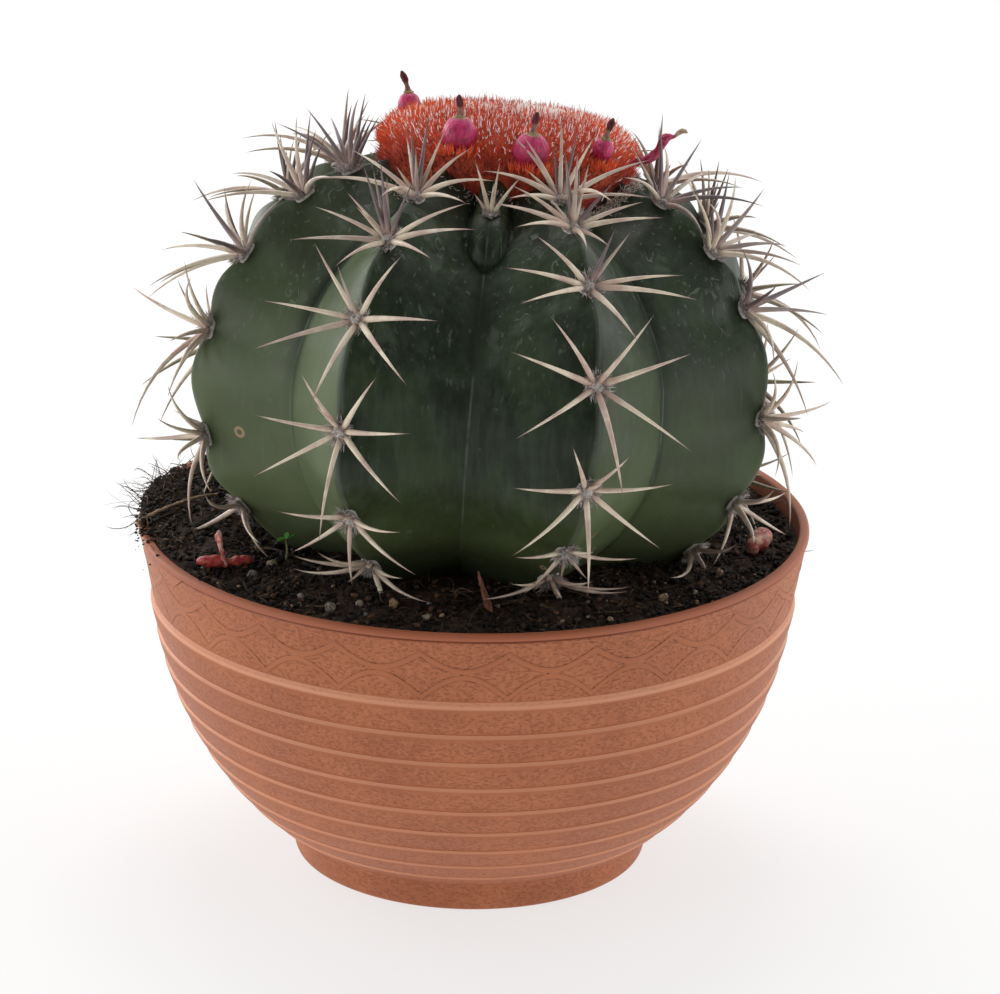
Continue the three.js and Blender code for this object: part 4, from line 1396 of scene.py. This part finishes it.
def lumpShapes(fine):
    mesh = bpy.data.meshes.new("lump")
    shape = bmesh.new()
    bmesh.ops.create_icosphere(shape, subdivisions=fine, radius=1)
    shape.to_mesh(mesh)
    shape.free()
    points = np.array([v.co[:] for v in mesh.vertices])
    faces = np.array([list(p.vertices) for p in mesh.polygons])
    bpy.data.meshes.remove(mesh)
    return points, faces


# irregular crumbs scattered at given places, as one mesh
def addLumps(name, places, sizes, tones, seedNumber, fine=1, squash=0.7, rugged=0.22):
    rng = np.random.default_rng(seedNumber)
    base, faces = lumpShapes(fine)
    count = len(places)
    points = base[None] * (1 + rng.uniform(-rugged, rugged, (count, len(base), 1)))
    points = points * rng.uniform((0.7, 0.7, squash - 0.15), (1.3, 1.0, squash + 0.15), (count, 3))[:, None]
    turn = rng.uniform(0, 2 * np.pi, (2, count))
    c, s, zero, one = np.cos(turn), np.sin(turn), np.zeros(count), np.ones(count)
    aboutZ = np.array([[c[0], -s[0], zero], [s[0], c[0], zero], [zero, zero, one]]).transpose(2, 0, 1)
    tilt = 0.5 * np.sin(turn[1])
    ct, st = np.cos(tilt), np.sin(tilt)
    aboutX = np.array([[one, zero, zero], [zero, ct, -st], [zero, st, ct]])
    points = np.einsum("nij,njk,nlk->nli", aboutZ, aboutX.transpose(2, 0, 1), points)
    points = points * np.asarray(sizes)[:, None, None] + np.asarray(places)[:, None]
    allFaces = (faces[None] + np.arange(count)[:, None, None] * len(base)).reshape(-1, 3)
    values = {"tone": np.repeat(tones, len(base))}
    return addMesh(name, points.reshape(-1, 3) * mm, allFaces.tolist(), values, fine > 1)


# random places spread evenly over the open soil round the plant
def soilSpots(count, rng, low=52, high=90.5):
    radius = np.sqrt(rng.uniform(low ** 2, high ** 2, count))
    turn = rng.uniform(0, 2 * np.pi, count)
    x, y = radius * np.sin(turn), -radius * np.cos(turn)
    return np.stack([x, y, soilLevel(x, y)], -1)


def makeCrumbs(s):
    rng = np.random.default_rng(41)
    spots = soilSpots(s["lumps"], rng)
    sizes = rng.uniform(0.2, 1.0, s["lumps"]) ** 3.5 * 1.0 + 0.24
    spots[:, 2] += sizes * 0.3
    tones = rng.beta(0.7, 3.0, s["lumps"])
    # the heap that has spilled onto the lip on the left
    n, middle = s["spilled"], s["spilledAzimuth"]
    azimuth = rng.normal(middle, 11, n)
    radius = rng.uniform(85, 95.9, n)
    over = smoothstep(radius, 93.5, 95.9)
    drop = rng.uniform(0, 1, n) ** 1.8 * 9 * (radius > 95.2)
    x, y = radius * np.sin(np.radians(azimuth)), -radius * np.cos(np.radians(azimuth))
    heaped = np.exp(-(turnDegrees(azimuth, middle) / 22) ** 2)
    z = 99.4 + (1 - over) * rng.uniform(0, 3.2, n) * heaped - drop
    spill = np.stack([x, y, z], -1)
    spillSizes = rng.uniform(0.25, 1.0, n) * (1 - 0.45 * over)
    return addLumps(
        "crumbs", np.concatenate([spots, spill]), np.concatenate([sizes, spillSizes]),
        np.concatenate([tones, rng.beta(1.6, 2.6, n) * 0.7]), 42,
    )


grit = [  # x, y, radius, tone: 0 grey, 0.5 beige, 1 tan
    (-21.4, -66.3, 2.1, 1.0), (-38.3, -67.1, 2.2, 0.35), (-55.3, -41.7, 2.3, 0.6),
    (51.6, -55.1, 2.0, 0.9), (-30.5, -66.0, 1.6, 0.55), (-12.0, -73.5, 1.5, 0.5),
    (-60.2, -47.5, 2.4, 0.15), (-46.5, -60.5, 1.2, 0.4), (24.0, -73.5, 1.2, 0.6),
    (37.0, -70.0, 1.3, 0.75), (60.5, -49.0, 1.2, 0.45), (68.0, -34.0, 1.6, 0.9),
]


def makeGrit(s):
    rng = np.random.default_rng(51)
    small = s["grit"]
    spots = soilSpots(small, rng)
    known = np.array([(x, y, soilLevel(x, y) + 0.3) for x, y, _, _ in grit])
    sizes = np.concatenate([rng.uniform(0.25, 0.8, small), [g[2] * 0.85 for g in grit]])
    tones = np.concatenate([rng.random(small), [g[3] for g in grit]])
    spots[:, 2] += 0.5
    return addLumps("grit", np.concatenate([spots, known]), sizes, tones, 52, 2, 0.75, 0.17)


def makeFibres(s):
    rng = np.random.default_rng(61)
    n = s["fibres"]
    start = soilSpots(n, rng, 54, 90)
    turn = rng.uniform(0, 2 * np.pi, n)
    way = np.stack([np.cos(turn), np.sin(turn), rng.normal(0.05, 0.18, n)], -1)
    length, bow = rng.uniform(3, 11, n), rng.normal(0, 0.10, (n, 3))
    start[:, 2] += 0.6
    # matted roots over the left lip, some standing out into the air
    m, middle = s["matted"], s["mattedAzimuth"]
    azimuth = rng.normal(middle, 12, m)
    radius = rng.uniform(84, 95.5, m)
    x, y = radius * np.sin(np.radians(azimuth)), -radius * np.cos(np.radians(azimuth))
    z = 99.8 + rng.uniform(0, 3.4, m) * np.exp(-(turnDegrees(azimuth, middle) / 20) ** 2)
    mat = np.stack([x, y, z], -1)
    outward = np.stack([x, y, 0 * x], -1) / radius[:, None]
    matWay = outward * rng.uniform(-0.6, 1.2, (m, 1)) + rng.normal(0, 0.75, (m, 3)) * [1, 1, 0.6]
    matLength = rng.uniform(4, 12.5, m)
    start, way = np.concatenate([start, mat]) * mm, np.concatenate([way, matWay])
    bow = np.concatenate([bow, rng.normal(0, 0.12, (m, 3))])
    length = np.concatenate([length, matLength]) * mm
    thick = np.concatenate([rng.uniform(0.08, 0.22, n), rng.uniform(0.05, 0.16, m)]) * mm
    tone = rng.random(n + m)
    return addNeedles("fibres", start, way, bow, length, thick, tone, sides=4, rings=7, taper=0.35)


soilLook = {
    "black": (0.004, 0.0032, 0.003),
    "brown": (0.026, 0.016, 0.010),
    "rust": (0.20, 0.10, 0.055),
    "fibre": (0.16, 0.095, 0.055),
}


def pottingSoil(s):
    m = Finish("potting soil")
    fine = m.spread(m.grain(1.6, 5, 0.7), 0.4, 0.66)
    m.colour = m.mix(fine, s["black"], s["brown"])
    m.coat(m.spread(m.painted("tone"), 0.25, 0.75), s["rust"])
    m.coat(m.spread(m.cells(1.9), 0.1, 0.5, 0.6, 0), s["black"])
    m.feed(m.spread(fine, 0, 1, 0.55, 0.95), 0.35)
    return m.raised((m.grain(1.3, 5, 0.75), 1.3))


def gritStone():
    m = Finish("grit")
    m.colour = m.stops(m.painted("tone"), [
        (0.0, (0.17, 0.17, 0.17)), (0.5, (0.36, 0.30, 0.22)), (1.0, (0.42, 0.25, 0.12)),
    ])
    m.coat(m.spread(m.grain(0.8, 4), 0.42, 0.65), (0.08, 0.06, 0.05))
    m.feed(0.75)
    return m.raised((m.grain(0.7, 3), 0.25))


def rootFibre(s):
    m = Finish("root fibre")
    m.colour = m.mix(m.painted("tone"), s["brown"], s["fibre"])
    m.coat(m.spread(m.grain(2.0, 3), 0.4, 0.7), s["brown"])
    m.feed(0.8)
    return m.raised((m.grain(0.6, 2), 0.05))


soilFinish = pottingSoil(soilLook)
bed = dress(makeSoil(soil), soilFinish)
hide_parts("soil")
dress(makeCrumbs(soil), soilFinish)
dress(makeGrit(soil), gritStone())
dress(makeFibres(soil), rootFibre(soilLook))
print("soil made")


# ---- loose things: fallen fruits, a chip of bark, a seedling and a twig
loose = {
    "chip": (0.26, 0.095, 0.05),
    "leaf": (0.12, 0.40, 0.06),
    "redDry": (0.40, 0.02, 0.03),
    "redLight": (0.62, 0.16, 0.10),
}


def mottledFinish(name, low, high, size, rough=0.6, height=0.3, stretch=(1, 1, 1)):
    m = Finish(name)
    share = m.spread(m.grain(size, 4, 0.6, stretch), 0.38, 0.66)
    m.colour = m.mix(share, low, high)
    m.feed(m.spread(share, 0, 1, rough - 0.1, rough + 0.1))
    return m.raised((m.grain(size * 0.6, 3), height))


redDryFinish = mottledFinish("fallen fruit skin", loose["redDry"], loose["redLight"], 2.4, 0.5, 0.5)
pinkDryFinish = mottledFinish("pale fallen fruit", (0.42, 0.08, 0.07), (0.80, 0.50, 0.40), 2.2, 0.6, 0.6)


def makeFallenLeft():
    z = float(soilLevel(-68, -43)) + 2.2
    knots = [
        (-75.6, -43.6, z, 1.0), (-73.5, -43.7, z + 0.3, 2.0), (-70, -43.3, z, 2.3),
        (-67.2, -42.8, z - 0.3, 1.5), (-64.5, -42.2, z, 1.9), (-61.8, -42, z + 0.2, 1.5),
        (-60.4, -41.8, z, 0.5),
    ]
    fallen = addTube("fallen fruit left", knots, 48, 18, 0.75, 0.4, 5)
    stalk = [
        (-68.2, -44.2, z - 1, 1.1), (-68.4, -44.6, z + 2, 0.8), (-69.2, -44.8, z + 5.5, 1.1),
        (-69.6, -45, z + 8, 1.2), (-69.4, -45, z + 9.6, 0.3),
    ]
    flower = addTube("fallen flower", stalk, 30, 12, 0.6, 0.3, 6)
    fallen.data.materials.append(redDryFinish)
    flower.data.materials.append(pinkDryFinish)
    return joinInto(fallen, flower)


def makeFallenRight():
    z = float(soilLevel(80, -14)) + 3.2
    knots = [
        (77.6, -17.8, z - 2.3, 0.8), (78.6, -16.4, z - 0.5, 2.3), (79.6, -14.6, z, 3.1),
        (80.8, -12.6, z + 1, 3.0), (81.6, -10.6, z + 1.8, 1.6), (82, -9.6, z + 2.4, 0.5),
    ]
    piece = addTube("fallen fruit right", knots, 44, 20, 0.8, 0.75, 8)
    piece.data.materials.append(pinkDryFinish)
    return piece


def makeChip():
    z = float(soilLevel(3, -70)) - 1.0
    knots = [
        (4.6, -70, z, 1.5), (4.0, -70, z + 3, 1.75), (3.0, -70.2, z + 6.5, 1.5), (2.0, -70.3, z + 9.6, 1.0),
        (1.3, -70.4, z + 12.6, 0.35),
    ]
    piece = addTube("bark chip", knots, 30, 10, 0.4, 0.25, 9)
    bark = mottledFinish("bark", (0.10, 0.035, 0.02), loose["chip"], 1.6, 0.8, 0.5, (2, 2, 0.4))
    piece.data.materials.append(bark)
    return piece


def makeLeaf(name, root, way, size, droop):
    rows, columns = 9, 9
    way, up = unit(np.array(way, float)), np.array([0, 0, 1.0])
    side = unit(np.cross(way, up))
    points = []
    for layer in (0.06, -0.06):
        for i in range(rows):
            t = i / (rows - 1)
            width = math.sin(math.pi * (0.04 + 0.92 * t)) ** 0.7 * size * 0.42
            for j in range(columns):
                s = j / (columns - 1) * 2 - 1
                fold = 0.10 * size * s * s - droop * t * t * size
                points.append(root + way * t * size + side * s * width + up * (fold + layer * 1.5))
    count = rows * columns
    faces = []
    for i in range(rows - 1):
        for j in range(columns - 1):
            a = i * columns + j
            faces.append((a, a + 1, a + columns + 1, a + columns))
            faces.append((count + a + columns, count + a + columns + 1, count + a + 1, count + a))
    edge = [j for j in range(columns)] + [i * columns + columns - 1 for i in range(1, rows)]
    edge += [(rows - 1) * columns + j for j in reversed(range(columns - 1))]
    edge += [i * columns for i in reversed(range(1, rows - 1))]
    faces += [(b, a, count + a, count + b) for a, b in zip(edge, edge[1:] + edge[:1])]
    return addMesh(name, np.array(points) * mm, faces)


def makeSeedling():
    x, y = -51.5, -38
    z = float(soilLevel(x, y))
    knots = [(x, y, z, 0.42), (x + 0.3, y, z + 3, 0.34), (x - 0.1, y, z + 6.4, 0.3)]
    stem = addTube("seedling", knots, 20, 10)
    top = through(knots, 20)[-1, :3] - [0, 0, 0.2]
    leaves = [
        makeLeaf("leaf a", top, (0.75, -0.25, 0.45), 2.9, 0.1),
        makeLeaf("leaf b", top, (-0.8, -0.3, 0.1), 2.5, 0.2),
        makeLeaf("leaf c", top + np.array([0, 0, 0.1]), (0.2, 0.5, 0.7), 1.7, 0.0),
    ]
    green = mottledFinish("seedling leaf", (0.05, 0.20, 0.03), loose["leaf"], 1.8, 0.45, 0.1)
    stemFinish = mottledFinish("seedling stem", (0.16, 0.16, 0.05), (0.26, 0.27, 0.09), 1.5, 0.6, 0.1)
    stem.data.materials.append(stemFinish)
    for leaf in leaves:
        leaf.data.materials.append(green)
    return joinInto(stem, *leaves)


def makeTwig():
    knots = [
        (-94.6, -13, 100.3, 0.9), (-92, -11, 101, 1.1), (-88, -8.5, 102.6, 0.8), (-83, -6, 104, 0.7),
        (-78, -2.5, 104.6, 0.6), (-73, 1, 104.4, 0.35),
    ]
    piece = addTube("twig", knots, 46, 12, 0.8, 0.25, 11)
    bark = mottledFinish("twig bark", (0.13, 0.075, 0.045), (0.36, 0.23, 0.14), 2.0, 0.8, 0.3)
    piece.data.materials.append(bark)
    return piece


looseMakers = [
    (makeFallenLeft, "fallen_fruit_left", "dried_fruit_skin"),
    (makeFallenRight, "fallen_fruit_right", "dried_fruit_skin"),
    (makeChip, "wood_chip", "bark"),
    (makeSeedling, "seedling", "seedling_leaf"),
]
for make, node, slotName in looseMakers:
    piece = make()
    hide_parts(node)
makeTwig()
print("loose things made")


# ---- floor and light: a pale sweep, bright from both sides and behind, dim from the front
studio = {
    "floorSize": 6.0,
    "floor": (0.32, 0.32, 0.32),
    "floorGlow": 0.68,  # the sweep is lit from beneath
    "surround": 0.975,
    "frontDim": 0.03,
    "frontHigh": 0.12,
}


def makeFloor(s):
    half = s["floorSize"] / 2
    points = [(-half, -half, 0), (half, -half, 0), (half, half, 0), (-half, half, 0)]
    floor = addMesh("floor", points, [(0, 1, 2, 3)])
    m = Finish("pale sweep")
    faint = m.spread(m.grain(400, 2), 0.3, 0.7)
    lighter = tuple(v * 1.01 for v in s["floor"])
    m.colour = m.mix(faint, s["floor"], lighter)
    m.feed(0.9, 0.1)
    m.glow(s["floorGlow"], (1, 1, 1))
    floor.data.materials.append(m.made)


def makeWorld(s):
    world = bpy.data.worlds.new("studio")
    world.use_nodes = True
    bpy.context.scene.world = world
    m = Nodes(world.node_tree)
    parts = m.parts("Generated")
    low, high, full = ((s[key],) * 3 for key in ("frontDim", "frontHigh", "surround"))
    # y runs from -1 in front to +1 behind, x from -1 on the left to +1 on the right
    beside = m.maths("ABSOLUTE", parts["X"])
    share = m.spread(beside, 0.35, 0.9)
    share = m.maths("MAXIMUM", share, m.spread(parts["Y"], -0.05, 0.35))
    front = m.mix(m.spread(parts["Z"], 0.15, 0.6), low, high)
    colour = m.mix(share, front, full)
    m.tree.links.new(colour, m.tree.nodes["Background"].inputs["Color"])


def addPanel(name, place, target, size, power):
    light = bpy.data.lights.new(name, "AREA")
    light.shape = "RECTANGLE"
    light.size, light.size_y = size
    light.energy = power
    lamp = bpy.data.objects.new(name, light)
    lamp.location = place
    lamp.rotation_euler = (Vector(target) - Vector(place)).to_track_quat("-Z", "Y").to_euler()
    bpy.context.collection.objects.link(lamp)


makeFloor(studio)
makeWorld(studio)
middle = (0, 0, 0.12)
addPanel("left panel behind", (-0.95, 0.9, 0.35), middle, (0.9, 0.7), 6.5)
addPanel("left panel", (-1.1, -0.55, 0.3), middle, (0.7, 0.8), 3.5)
addPanel("right panel behind", (0.95, 0.9, 0.35), middle, (0.9, 0.7), 2.2)
addPanel("right panel", (1.1, -0.5, 0.3), middle, (0.7, 0.8), 2.4)
addPanel("top panel", (0, 0.6, 1.4), middle, (0.8, 0.8), 6)
bpy.context.scene.view_settings.view_transform = "Standard"
print("studio lit")
